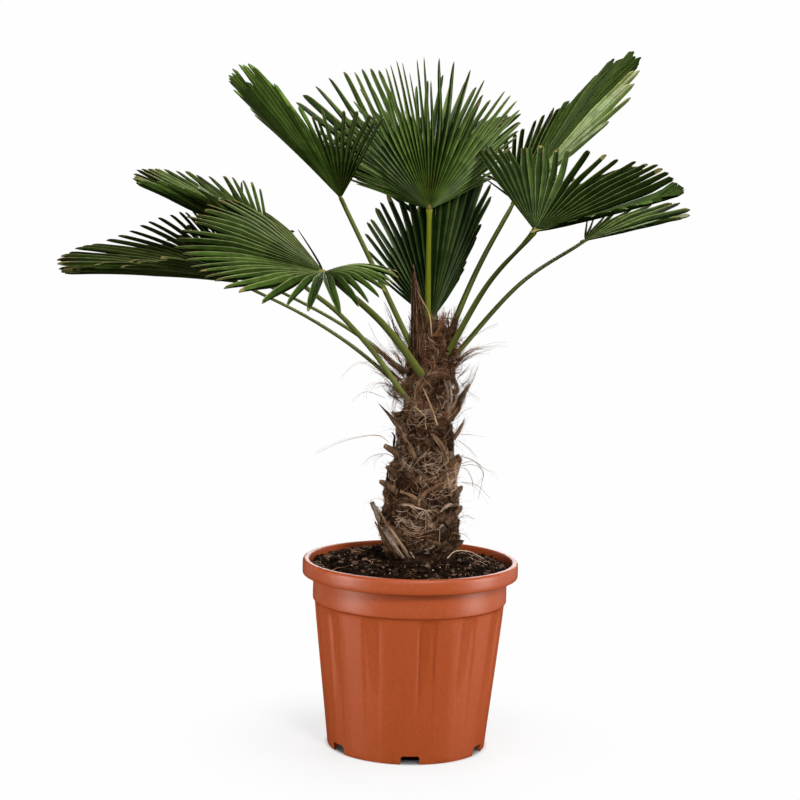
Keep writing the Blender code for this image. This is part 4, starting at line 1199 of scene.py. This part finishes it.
# over the feet of the stalks
for x0, y0, x1, y1, x2, y2, number in (
    (432, 388, 421, 373, 408, 356, 40), (436, 380, 424, 368, 414, 352, 30), (414, 384, 420, 370, 428, 358, 30),
    (408, 400, 399, 389, 389, 378, 30), (404, 404, 395, 393, 386, 380, 24), (412, 394, 402, 384, 392, 372, 30),
    (420, 356, 412, 343, 404, 328, 20), (446, 366, 450, 352, 456, 338, 26), (442, 372, 451, 358, 462, 345, 26),
    (448, 376, 456, 361, 468, 349, 22), (438, 366, 444, 350, 449, 334, 20),
):
    bundle(((x0, y0, 2.0), (x1, y1, 6.5), (x2, y2, 7.5)), number, 0.0026, (F_DARK, F_BROWN, F_BROWN, F_RED, F_TAN), fray=1.2)


def shaft(x, y, extra):
    """A place on the fibres round the crown shaft."""
    p = seen_at(x, y, -0.03)
    dx = p.x - 0.0215
    return seen_at(x, y, -math.sqrt(max(0.0002, 0.0315**2 - dx * dx)) - extra)


# along the tall sheath
for n in range(210):
    u = rng.uniform(-1.0, 1.0)
    foot = rng.uniform(330, 362)
    top = 266 + 70 * rng.random() ** 1.2
    high = smooth_step((330 - top) / 50)
    sway = rng.gauss(0, 0.10)
    pts = [tall(u + 0.04 * rng.gauss(0, 1) + sway * t, foot + (top - foot) * t, 0.0012 + 0.0015 * rng.random()) for t in (0, 0.35, 0.7, 1)]
    for _ in range(2):
        jig = Vector([rng.gauss(0, 1) for _ in range(3)]) * 0.0004
        strand(build, [p + jig for p in path_through(pts, 6)], rng.uniform(0.00018, 0.00036),
               rng.choices((F_DARK, F_BROWN, F_TAN, F_RED), (0.80 - 0.20 * high, 0.14, 0.04 + 0.10 * high, 0.04))[0], taper=0.6)
for n in range(46):
    u = rng.uniform(-1.0, 1.0)
    foot = rng.uniform(288, 316)
    pts = [tall(u * (1 - 0.3 * t), foot + (rng.uniform(264, 276) - foot) * t, 0.0022) for t in (0, 0.5, 1)]
    strand(build, path_through(pts, 4), rng.uniform(0.0002, 0.00036), rng.choice((F_TAN, F_BROWN, F_TAN, F_GREY)), taper=0.6)
# fuzz that stands up round the youngest leaf's foot
for n in range(210):
    x = rng.uniform(424, 457)
    top = 309 + 7 * rng.random() ** 2 + 10 * rng.random() ** 3 - 4 * (x > 437)
    lean = rng.gauss(0, 3) + 0.22 * (x - 441)
    warm = 437 < x < 447 and rng.random() < 0.8
    if 443 < x < 450 and rng.random() < 0.5:
        continue
    path = path_through([shaft(x - lean * 0.3, rng.uniform(338, 358), 0.002), shaft(x, 330, 0.003 + 0.003 * rng.random()),
                         shaft(x + lean, top, 0.004 + 0.006 * rng.random())], 6)
    wave = [(rng.uniform(0.5, 1.4), rng.uniform(0, 6)) for _ in range(3)]
    for _ in range(3):
        jig = Vector([rng.gauss(0, 1) for _ in range(3)]) * 0.0006
        last = 6 - rng.randint(0, 2)
        strand(build, [path[k] + jig + Vector([math.sin(f * k + q) for f, q in wave]) * 0.0005 for k in range(last + 1)],
               rng.uniform(0.00013, 0.00026),
               rng.choice((F_RED, F_RED, F_TAN, F_BROWN) if warm else (F_DARK, F_BROWN, F_BROWN, F_RED, F_TAN)), taper=0.7)
spray([shaft(438, 332, 0.008), shaft(441.5, 322, 0.009), shaft(444, 314, 0.009)], 50, 0.0016, (F_RED, F_RED, F_RED, F_TAN), (0.0002, 0.0004), steps=6)
# fibre over the feet of the front stalks
for x0, y0, x1, y1, x2, y2 in ((410, 381, 419, 374, 428, 367), (413, 384, 421, 377, 431, 371), (416, 370, 421, 377, 424, 384), (395, 386, 401, 392, 408, 396),
                               (399, 382, 402, 390, 403, 399), (392, 392, 400, 396, 409, 398)):
    spray([on_trunk(x0, y0, 0.006), on_trunk(x1, y1, 0.0125), on_trunk(x2, y2, 0.006)], 16, 0.0016, (F_BROWN, F_DARK, F_TAN, F_BROWN, F_RED), steps=7, curl=0.001)
# curled fibre below it
for n in range(420):
    x, y = rng.uniform(407, 458), rng.uniform(318, 378)
    if y < 336 and x < 432 and rng.random() < 0.6:
        continue
    heading, bend, size = rng.uniform(0, math.tau), rng.uniform(-1.5, 1.5), rng.uniform(1.5, 4.2)
    pts = []
    for k in range(5):
        pts.append(shaft(max(404, min(462, x)), y, 0.003 + 0.006 * rng.random() + 0.002 * (y > 345)))
        x += size * math.cos(heading)
        y += size * math.sin(heading)
        heading += bend * rng.uniform(0.4, 1.2)
    slot = rng.choices((F_DARK, F_BROWN, F_RED, F_TAN, F_PALE), (0.30, 0.24, 0.14, 0.24, 0.08))[0]
    line = path_through(pts, 7)
    for _ in range(rng.choice((1, 2) if slot > 2 else (3, 4))):
        jig = Vector([rng.gauss(0, 1) for _ in range(3)]) * 0.0006
        strand(build, [p + jig for p in line], rng.uniform(0.0002, 0.00036) if slot > 2 else rng.uniform(0.00015, 0.0003), slot, taper=0.6)
bundle(((410, 340, 5.0), (417, 331, 6.0), (424, 324, 6.0)), 12, 0.0010, (F_TAN, F_PALE, F_BROWN))
bundle(((430, 352, 5.0), (435, 337, 6.0), (437, 324, 6.0)), 20, 0.0013, (F_TAN, F_PALE, F_RED))
for n in range(26):
    x, y = rng.uniform(402, 455), rng.uniform(345, 376)
    bundle(((x, y, 1.0), (x + rng.uniform(-7, 7), y - rng.uniform(3, 10), 4.0), (x + rng.uniform(-12, 12), y - rng.uniform(6, 18), 5.0)),
           7, 0.0018, (F_DARK, F_BROWN, F_BROWN, F_RED, F_TAN), fray=1.3, steps=7)
# wisps at the sides of the crown's foot
for x0, y0, x1, y1, x2, y2, number in (
    (406, 350, 396, 329, 384, 303, 16), (402, 356, 391, 338, 381, 322, 12), (404, 374, 388, 358, 369, 341, 60),
    (405, 378, 392, 364, 376, 350, 60), (404, 384, 390, 370, 374, 358, 60), (402, 388, 388, 376, 372, 368, 36),
    (404, 366, 396, 355, 386, 346, 40), (400, 392, 388, 385, 376, 388, 14),
    (452, 352, 459, 336, 468, 326, 14), (455, 362, 470, 350, 492, 345, 20), (455, 366, 474, 355, 488, 352, 14),
    (452, 368, 459, 360, 467, 354, 34), (456, 378, 464, 372, 474, 362, 12), (458, 388, 468, 380, 476, 366, 10),
    (450, 340, 453, 324, 457, 308, 12),
):
    warm = (F_TAN, F_PALE, F_BROWN) if x2 > 480 else (F_DARK, F_BROWN, F_BROWN, F_TAN, F_RED)
    bundle(((x0, y0, 1.0), (x1, y1, 9.0), (x2, y2, 12.0)), number, 0.0014 + 0.00002 * number, warm, fray=1.6)
hand_over(build.object("trunk_fibre_crown", FIBRE, smooth=False), "trunk_fibre")

# loose hairs that stand off the trunk
rng = random.Random(21)
build = Builder()
for _ in range(560):
    z = 0.31 + 0.33 * rng.random() ** 0.7
    a = rng.uniform(0, math.tau)
    start = trunk_point(a, z, lies(a, z))
    out = Vector((math.cos(a), math.sin(a), 0))
    around = Vector((-math.sin(a), math.cos(a), 0))
    length = rng.uniform(0.008, 0.034)
    way = (out * rng.uniform(0.2, 1.0) + around * rng.uniform(-0.9, 0.9) + Vector((0, 0, rng.uniform(-0.3, 1.2)))).normalized()
    curl = Vector((rng.uniform(-1, 1), rng.uniform(-1, 1), rng.uniform(-1.3, 0.4))) * 0.8
    pts = [start + way * length * t + curl * length * t * t for t in (k / 7 for k in range(8))]
    strand(build, pts, rng.uniform(0.00012, 0.00026), rng.choices(range(5), (0.15, 0.35, 0.15, 0.25, 0.1))[0], taper=0.8)
# the longer ones that the picture shows against the background
LONG = (
    ((317, 452), (345, 440), (377, 435), (390, 443)), ((342, 380), (352, 368), (363, 363), (377, 370)),
    ((360, 365), (371, 363), (383, 369)), ((365, 398), (366, 388), (375, 383), (387, 384), (397, 390)),
    ((371, 390), (380, 382), (393, 387)), ((380, 404), (389, 415), (399, 426)),
    ((394, 411), (398, 401), (405, 390), (417, 383)), ((397, 392), (404, 381), (419, 376)),
    ((364, 465), (374, 456), (387, 454), (395, 458)), ((372, 467), (375, 459), (384, 455)),
    ((352, 402), (366, 392), (386, 398)), ((366, 322), (376, 340), (392, 356)), ((383, 306), (390, 330), (404, 350)),
    ((374, 372), (384, 378), (398, 392)), ((377, 350), (388, 360), (400, 372)),
    ((506, 345), (492, 345), (478, 349), (462, 357)), ((499, 346), (485, 351), (467, 358), (450, 360)),
    ((496, 323), (483, 329), (468, 340)), ((480, 365), (474, 379), (464, 388)), ((474, 352), (466, 360), (456, 366)),
    ((483, 438), (471, 435.5), (457, 434.5)), ((495, 478), (492, 472), (485, 469.5), (474, 461.5), (459, 464)),
    ((472, 494), (474, 488), (483, 477), (481, 470), (473, 465), (458, 466)),
    ((458, 465), (467, 469), (472, 479), (472.5, 487)), ((478, 499), (481, 486), (483, 472), (474, 461), (460, 456)),
    ((476, 458), (467, 447), (457, 440)), ((462, 415), (458, 426), (455, 434)), ((470, 405), (462, 410), (455, 420)),
    ((475, 392), (466, 396), (457, 398)), ((482, 400), (470, 392), (458, 380)), ((488, 500), (476, 486), (460, 482)),
    ((366, 504), (374, 498), (386, 500)), ((473, 520), (466, 516), (458, 518)), ((470, 540), (464, 534), (456, 532)),
)
for points in LONG:
    x, y = points[-1]
    line = [on_trunk(x, y, 0.001)] + [seen_at(px, py, -0.012) for px, py in points[-2::-1]]
    pts = path_through(line, 12)
    for _ in range(2 + rng.randint(0, 1)):
        jig = Vector((rng.uniform(-1, 1), rng.uniform(-3, 3), rng.uniform(-1, 1))) * 0.004
        strand(build, [p + jig * (k / 12) for k, p in enumerate(pts)], 0.00026, rng.choice((1, 3, 3, 4)), taper=0.6)
hand_over(build.object("trunk_loose_hairs", FIBRE, smooth=False), "trunk_fibre")

# ------------------------------------------------------------------ soil
build = Builder()
rings = []
INNER = 0.1488
for n in range(72):
    r = 0.002 + (INNER - 0.002) * n / 71
    ring = []
    for k in range(200):
        a = math.tau * k / 200
        base = 0.2825 if r < 0.085 else 0.2825 - (r - 0.085) / (INNER - 0.085) * 0.0145
        p = Vector((r * math.cos(a), r * math.sin(a), 0))
        bumpy = noise.fractal(p * 90, 0.7, 2.1, 6) * 0.0042 + noise.fractal(p * 25 + Vector((5, 3, 1)), 0.8, 2, 3) * 0.0040
        ring.append(Vector((p.x, p.y, base - 0.0018 + bumpy)))
    rings.append(ring)
# down the inside of the wall and across underneath, so that it is a closed body
for r, z in ((INNER, 0.262), (0.1410, 0.2535), (0.1385, 0.216), (0.1165, 0.019), (0.02, 0.019)):
    rings.append([Vector((r * math.cos(math.tau * k / 200), r * math.sin(math.tau * k / 200), z)) for k in range(200)])
build.loft(rings, 0, cap_slot=0)
hand_over(build.object("soil_surface", SOIL), "potting_soil", "soil")


def clod(build, centre, size, slot, rng, squash=0.7):
    """A small lump: an octahedron-based ball with uneven points."""
    rings = []
    turn = rng.uniform(0, 6)
    tilt = Vector((rng.uniform(-0.4, 0.4), rng.uniform(-0.4, 0.4), 1)).normalized()
    side = tilt.cross(Vector((1, 0.3, 0))).normalized()
    other = tilt.cross(side)
    long = rng.uniform(0.8, 1.5)
    for t in (-0.9, -0.3, 0.4, 0.93):
        rr = math.sqrt(1 - t * t)
        rings.append([centre + tilt * size * squash * t
                      + side * size * rr * long * math.cos(turn + a) * rng.uniform(0.75, 1.2)
                      + other * size * rr * math.sin(turn + a) * rng.uniform(0.75, 1.2)
                      for a in (math.tau * k / 6 for k in range(6))])
    build.loft(rings, slot, cap_slot=slot)


rng = random.Random(31)
build = Builder()
for n in range(1900):
    a = rng.uniform(0, math.tau)
    r = math.sqrt(rng.uniform(0.055**2, 0.147**2))
    base = 0.2825 if r < 0.085 else 0.2825 - (r - 0.085) / (INNER - 0.085) * 0.0145
    size = 0.0008 + 0.0026 * rng.random() ** 2.5 if n > 130 else rng.uniform(0.0030, 0.0058)
    # closer to the stem the darkest peat is more common: painted shade round the foot of the stem
    slot = rng.choices((0, 1, 2), (0.32, 0.42, 0.26) if r > 0.088 else (0.60, 0.32, 0.08))[0]
    if r + size > 0.1478:
        continue
    clod(build, Vector((r * math.cos(a), r * math.sin(a), base - 0.001 + size * 0.6 + rng.uniform(-0.001, 0.002))),
         size, slot, rng, 0.7 if n > 130 else 0.45)
for x, y in ((385, 575), (390, 574), (428, 569), (433, 571), (440, 568), (352, 566), (470, 566), (410, 573), (460, 560)):
    p = seen_at(x, y, -0.10)
    depth = -0.10
    for _ in range(6):
        q = seen_at(x, y, depth)
        rr = math.hypot(q.x, q.y)
        base = 0.2825 if rr < 0.085 else 0.2825 - (rr - 0.085) / (INNER - 0.085) * 0.0145
        depth += (q.z - base) / math.tan(PITCH + 0.02) * 0.6
    q = seen_at(x, y, depth)
    if math.hypot(q.x, q.y) < 0.146:
        clod(build, Vector((q.x, q.y, q.z + 0.001)), 0.0012, 3, rng)
for _ in range(22):
    a = rng.uniform(0, math.tau)
    r = math.sqrt(rng.uniform(0.07**2, 0.145**2))
    base = 0.2825 if r < 0.085 else 0.2825 - (r - 0.085) / (INNER - 0.085) * 0.0145
    clod(build, Vector((r * math.cos(a), r * math.sin(a), base + 0.0018)), rng.uniform(0.0005, 0.0010), 3, rng)
hand_over(build.object("soil_clods", SOIL, smooth=False), "potting_soil")

# thin roots and straws on the soil
build = Builder()
rng = random.Random(41)
for _ in range(70):
    a = rng.uniform(0, math.tau)
    r = rng.uniform(0.072, 0.138)
    start = Vector((r * math.cos(a), r * math.sin(a), 0.2825 - max(0, r - 0.085) * 0.227 + 0.002))
    way = Vector((rng.uniform(-1, 1), rng.uniform(-1, 1), 0)).normalized()
    bend = Vector((-way.y, way.x, 0)) * rng.uniform(-0.6, 0.6)
    length = rng.uniform(0.006, 0.022)
    pts = []
    for k in range(8):
        t = k / 7
        p = start + way * length * t + bend * length * t * t
        rr = math.hypot(p.x, p.y)
        if rr > 0.146:
            p.x *= 0.146 / rr
            p.y *= 0.146 / rr
            rr = 0.146
        p.z = 0.2825 - max(0, rr - 0.085) * 0.227 + 0.0022 + 0.002 * math.sin(math.pi * t)
        pts.append(p)
    strand(build, pts, rng.uniform(0.0002, 0.0005), rng.choice((1, 3, 3, 4)), sides=4)
arc = path_through([seen_at(x, y, d) for x, y, d in ((447.5, 558, -0.086), (456, 551, -0.076), (471, 552, -0.070), (484, 559, -0.076))], 16)
for _ in range(3):
    jig = Vector([rng.gauss(0, 1) for _ in range(3)]) * 0.0003
    strand(build, [p + jig for p in arc], 0.00045, 4, sides=5, taper=0.5)
hand_over(build.object("soil_straws", FIBRE, smooth=False), "potting_soil")

# ------------------------------------------------------------------ pot
POT_SIDES = 320


def body_radius(z):
    return 0.1176 + (0.1413 - 0.1176) * z / 0.2187


# where the shallow upright recesses lie, in degrees from the front, and how wide they are
RECESSES = ((-78, 11), (-52, 8), (-23.5, 11), (11.7, 11.5), (38.5, 11), (65, 12), (93, 11), (121, 11), (149, 11),
            (177, 11), (205, 11), (233, 11), (257, 10))


def flute(a, z):
    """Shallow recesses below the collar, rounded at their tops and fading to the foot."""
    if z > 0.2185:
        return 0.0
    front = math.degrees(a) + 90.0
    depth = 0.0
    for middle, width in RECESSES:
        d = abs((front - middle + 180.0) % 360.0 - 180.0)
        inside = smooth_step((width / 2 + 0.8 - d) / 1.6)
        if inside > 0:
            crown = 0.2155 - 0.0035 * min(1.0, d / (width / 2)) ** 2
            top = smooth_step((crown - z) / 0.0035)
            depth = max(depth, inside * top)
    fade = 0.15 + 0.85 * smooth_step((z - 0.02) / 0.13)
    soft = 0.0005 * math.cos(math.radians(front) * 26) * smooth_step((0.2155 - z) / 0.02)
    return -0.0027 * depth * fade + soft * fade


outer = [(0.1176 - 0.0006, 0.0), (0.1176, 0.0008)]
outer += [(body_radius(z), z) for z in (0.0008 + (0.2168 - 0.0008) * k / 44 for k in range(1, 45))]
outer += [(0.1416, 0.2178), (0.1424, 0.2186), (0.1434, 0.2193), (0.1439, 0.2202), (0.1440, 0.2216)]
outer += [(0.1440 + 0.0001 * math.sin(k), 0.2216 + (0.2546 - 0.2216) * k / 8) for k in range(1, 9)]
outer += [(0.1443, 0.2556), (0.1450, 0.2563), (0.1462, 0.2566), (0.1560, 0.2566), (0.1583, 0.2568),
          (0.1595, 0.2575), (0.1600, 0.2588), (0.1601, 0.2640), (0.1601, 0.2720)]
outer += [(0.1600 - 0.0040 * (1 - math.cos(t)), 0.2750 + 0.0044 * math.sin(t)) for t in
          (math.radians(90) * k / 7 for k in range(1, 8))]
outer += [(0.1540, 0.2794), (0.1526, 0.2791), (0.1515, 0.2784), (0.1509, 0.2772), (0.1504, 0.2750),
          (0.1497, 0.2690), (0.1494, 0.2640), (0.1490, 0.2610)]
inner = [(0.1415, 0.2545), (0.1415, 0.2225), (0.1388, 0.2160), (0.1170, 0.0170), (0.0940, 0.0170), (0.0925, 0.0025),
         (0.004, 0.0025)]
under = [(0.004, 0.0), (0.0944, 0.0), (0.0950, 0.0006), (0.0965, 0.0145), (0.1126, 0.0145), (0.1131, 0.0006), (0.1137, 0.0)]
profile = under + outer + inner
build = Builder()
rings = []
for r, z in profile:
    ring = []
    for k in range(POT_SIDES):
        a = math.tau * k / POT_SIDES
        rr = r
        if 0.0008 <= z <= 0.2186 and (r, z) in outer:
            rr += flute(a, z)
        ring.append(Vector((rr * math.cos(a), rr * math.sin(a), z)))
    rings.append(ring)
build.loft(rings + [rings[0]], 0)
pot = build.object("pot_body", [POT])
# the first ring is joined to the last, which makes the wall one closed skin round a bare middle
mesh = pot.data
import bmesh

bm = bmesh.new()
bm.from_mesh(mesh)
bmesh.ops.remove_doubles(bm, verts=bm.verts, dist=1e-6)
bmesh.ops.holes_fill(bm, edges=bm.edges, sides=0)
bmesh.ops.recalc_face_normals(bm, faces=bm.faces)
bm.to_mesh(mesh)
bm.free()
mesh.shade_smooth()
mesh.set_sharp_from_angle(angle=math.radians(38))

cutter_build = Builder()
half, high, corner = 0.0138, 0.0128, 0.0045
outline = [(-half, -0.004), (half, -0.004)]
outline += [(half - corner + corner * math.cos(math.radians(15 * k)), high - corner + corner * math.sin(math.radians(15 * k))) for k in range(7)]
outline += [(-half + corner + corner * math.cos(math.radians(90 + 15 * k)), high - corner + corner * math.sin(math.radians(90 + 15 * k))) for k in range(7)]
for n in range(6):
    turn = math.radians(-87 + 60 * n)
    out = Vector((math.cos(turn), math.sin(turn), 0))
    side = Vector((-math.sin(turn), math.cos(turn), 0))
    cutter_build.loft([[out * reach + side * x + Vector((0, 0, z)) for x, z in outline] for reach in (0.1045, 0.1290)], 0, cap_slot=0)
cutter = cutter_build.object("pot_notch_cutter", [POT], smooth=False)
bm = bmesh.new()
bm.from_mesh(cutter.data)
bmesh.ops.recalc_face_normals(bm, faces=bm.faces)
bm.to_mesh(cutter.data)
bm.free()
cut = pot.modifiers.new("notches", "BOOLEAN")
cut.operation = "DIFFERENCE"
cut.object = cutter
bpy.context.view_layer.update()
done = bpy.data.meshes.new_from_object(pot.evaluated_get(bpy.context.evaluated_depsgraph_get()))
pot.modifiers.clear()
pot.data = done
bpy.data.objects.remove(cutter, do_unlink=True)
# the underside and the insides of the notches are near black: painted shade
underside_shade = principled("pot_underside_shade", (0.012, 0.004, 0.002), 0.9, 0.05)
add_pattern(underside_shade, (0.008, 0.003, 0.0015), (0.018, 0.006, 0.003), 40.0, 3.0)
pot.data.materials.append(underside_shade)
for face in pot.data.polygons:
    c = face.center
    if c.z < 0.0160 and math.hypot(c.x, c.y) < 0.1128:
        face.material_index = 1
hand_over(pot, "pot_plastic", "pot")

# ------------------------------------------------------------------ floor and light
floor = Builder()
floor.loft([[Vector((-5, y, 0)), Vector((5, y, 0))] for y in (-5.0, 5.0)], 0, closed=False)


def backdrop(name, near, far, gloom):
    """White all over, but close to the pot it takes the lamps' light and shade."""
    mat = principled(name, (0, 0, 0), 0.9, 0.0)
    tree = mat.node_tree
    shader = tree.nodes["Principled BSDF"]
    place = tree.nodes.new("ShaderNodeTexCoord")
    away = tree.nodes.new("ShaderNodeVectorMath")
    away.operation = "LENGTH"
    tree.links.new(place.outputs["Object"], away.inputs[0])
    ease = tree.nodes.new("ShaderNodeMapRange")
    ease.interpolation_type = "SMOOTHSTEP"
    ease.inputs["From Min"].default_value = near
    ease.inputs["From Max"].default_value = far
    tree.links.new(away.outputs["Value"], ease.inputs["Value"])
    # the glow is taken away under the foot: a painted contact shadow
    under = tree.nodes.new("ShaderNodeMapRange")
    under.interpolation_type = "SMOOTHSTEP"
    under.inputs["From Min"].default_value = 0.110
    under.inputs["From Max"].default_value = 0.124
    under.inputs["To Min"].default_value = 0.03
    tree.links.new(away.outputs["Value"], under.inputs["Value"])
    painted_foot_shadow = tree.nodes.new("ShaderNodeMath")
    painted_foot_shadow.operation = "MULTIPLY"
    tree.links.new(under.outputs["Result"], painted_foot_shadow.inputs[1])
    glow = tree.nodes.new("ShaderNodeMapRange")
    glow.inputs["To Min"].default_value = gloom
    glow.inputs["To Max"].default_value = 0.99
    shade = tree.nodes.new("ShaderNodeMapRange")
    shade.inputs["To Min"].default_value = 0.23
    shade.inputs["To Max"].default_value = 0.0
    grey = tree.nodes.new("ShaderNodeCombineColor")
    for node in (glow, shade):
        tree.links.new(ease.outputs["Result"], node.inputs["Value"])
    for name_ in ("Red", "Green", "Blue"):
        tree.links.new(shade.outputs["Result"], grey.inputs[name_])
    tree.links.new(grey.outputs["Color"], shader.inputs["Base Color"])
    shader.inputs["Emission Color"].default_value = (1, 1, 1, 1)
    tree.links.new(glow.outputs["Result"], painted_foot_shadow.inputs[0])
    tree.links.new(painted_foot_shadow.outputs["Value"], shader.inputs["Emission Strength"])
    return mat


stage = floor.object("floor", [backdrop("floor_white", 0.12, 0.36, 0.71)])
stage.visible_diffuse = False
stage.visible_glossy = False

world = bpy.data.worlds.new("studio")
bpy.context.scene.world = world
world.use_nodes = True
world.node_tree.nodes["Background"].inputs["Color"].default_value = (1, 1, 1, 1)
world.node_tree.nodes["Background"].inputs["Strength"].default_value = 0.99
# the white room shows behind the plant, but the lamps alone light it
world.cycles_visibility.diffuse = False
world.cycles_visibility.glossy = False


def area(name, size, power, place, at, spread=180):
    data = bpy.data.lights.new(name, "AREA")
    data.shape = "RECTANGLE"
    data.size, data.size_y = size
    data.energy = power
    data.spread = math.radians(spread)
    made = bpy.data.objects.new(name, data)
    made.location = place
    made.rotation_euler = (Vector(at) - Vector(place)).to_track_quat("-Z", "Y").to_euler()
    made.visible_camera = False
    bpy.context.scene.collection.objects.link(made)
    return made


area("overhead", (0.9, 0.9), 22.0, (0.15, -0.40, 2.4), (0, 0, 0.6))
area("key", (0.7, 0.7), 74.0, (0.95, -2.4, 1.9), (0, 0, 0.50))
area("fill", (2.4, 1.8), 34.0, (-0.5, -3.4, 1.1), (0, 0, 0.6))
area("left", (0.6, 0.5), 1.5, (-1.7, -0.7, 0.20), (0, 0, 0.13), 32)
area("right", (0.6, 0.5), 1.4, (1.7, -0.3, 0.20), (0, 0, 0.13), 32)
area("rim_left", (0.8, 1.2), 2.4, (-1.5, 1.1, 0.40), (0, 0, 0.2))
area("rim_right", (0.8, 1.2), 4.0, (1.5, 1.1, 0.40), (0, 0, 0.2))
area("behind", (2.4, 1.8), 80.0, (0.5, 3.2, 1.5), (0, 0, 0.6))
bpy.context.scene.view_settings.view_transform = "Standard"
bpy.context.scene.view_settings.look = "None"
bpy.context.scene.view_settings.exposure = 0.0
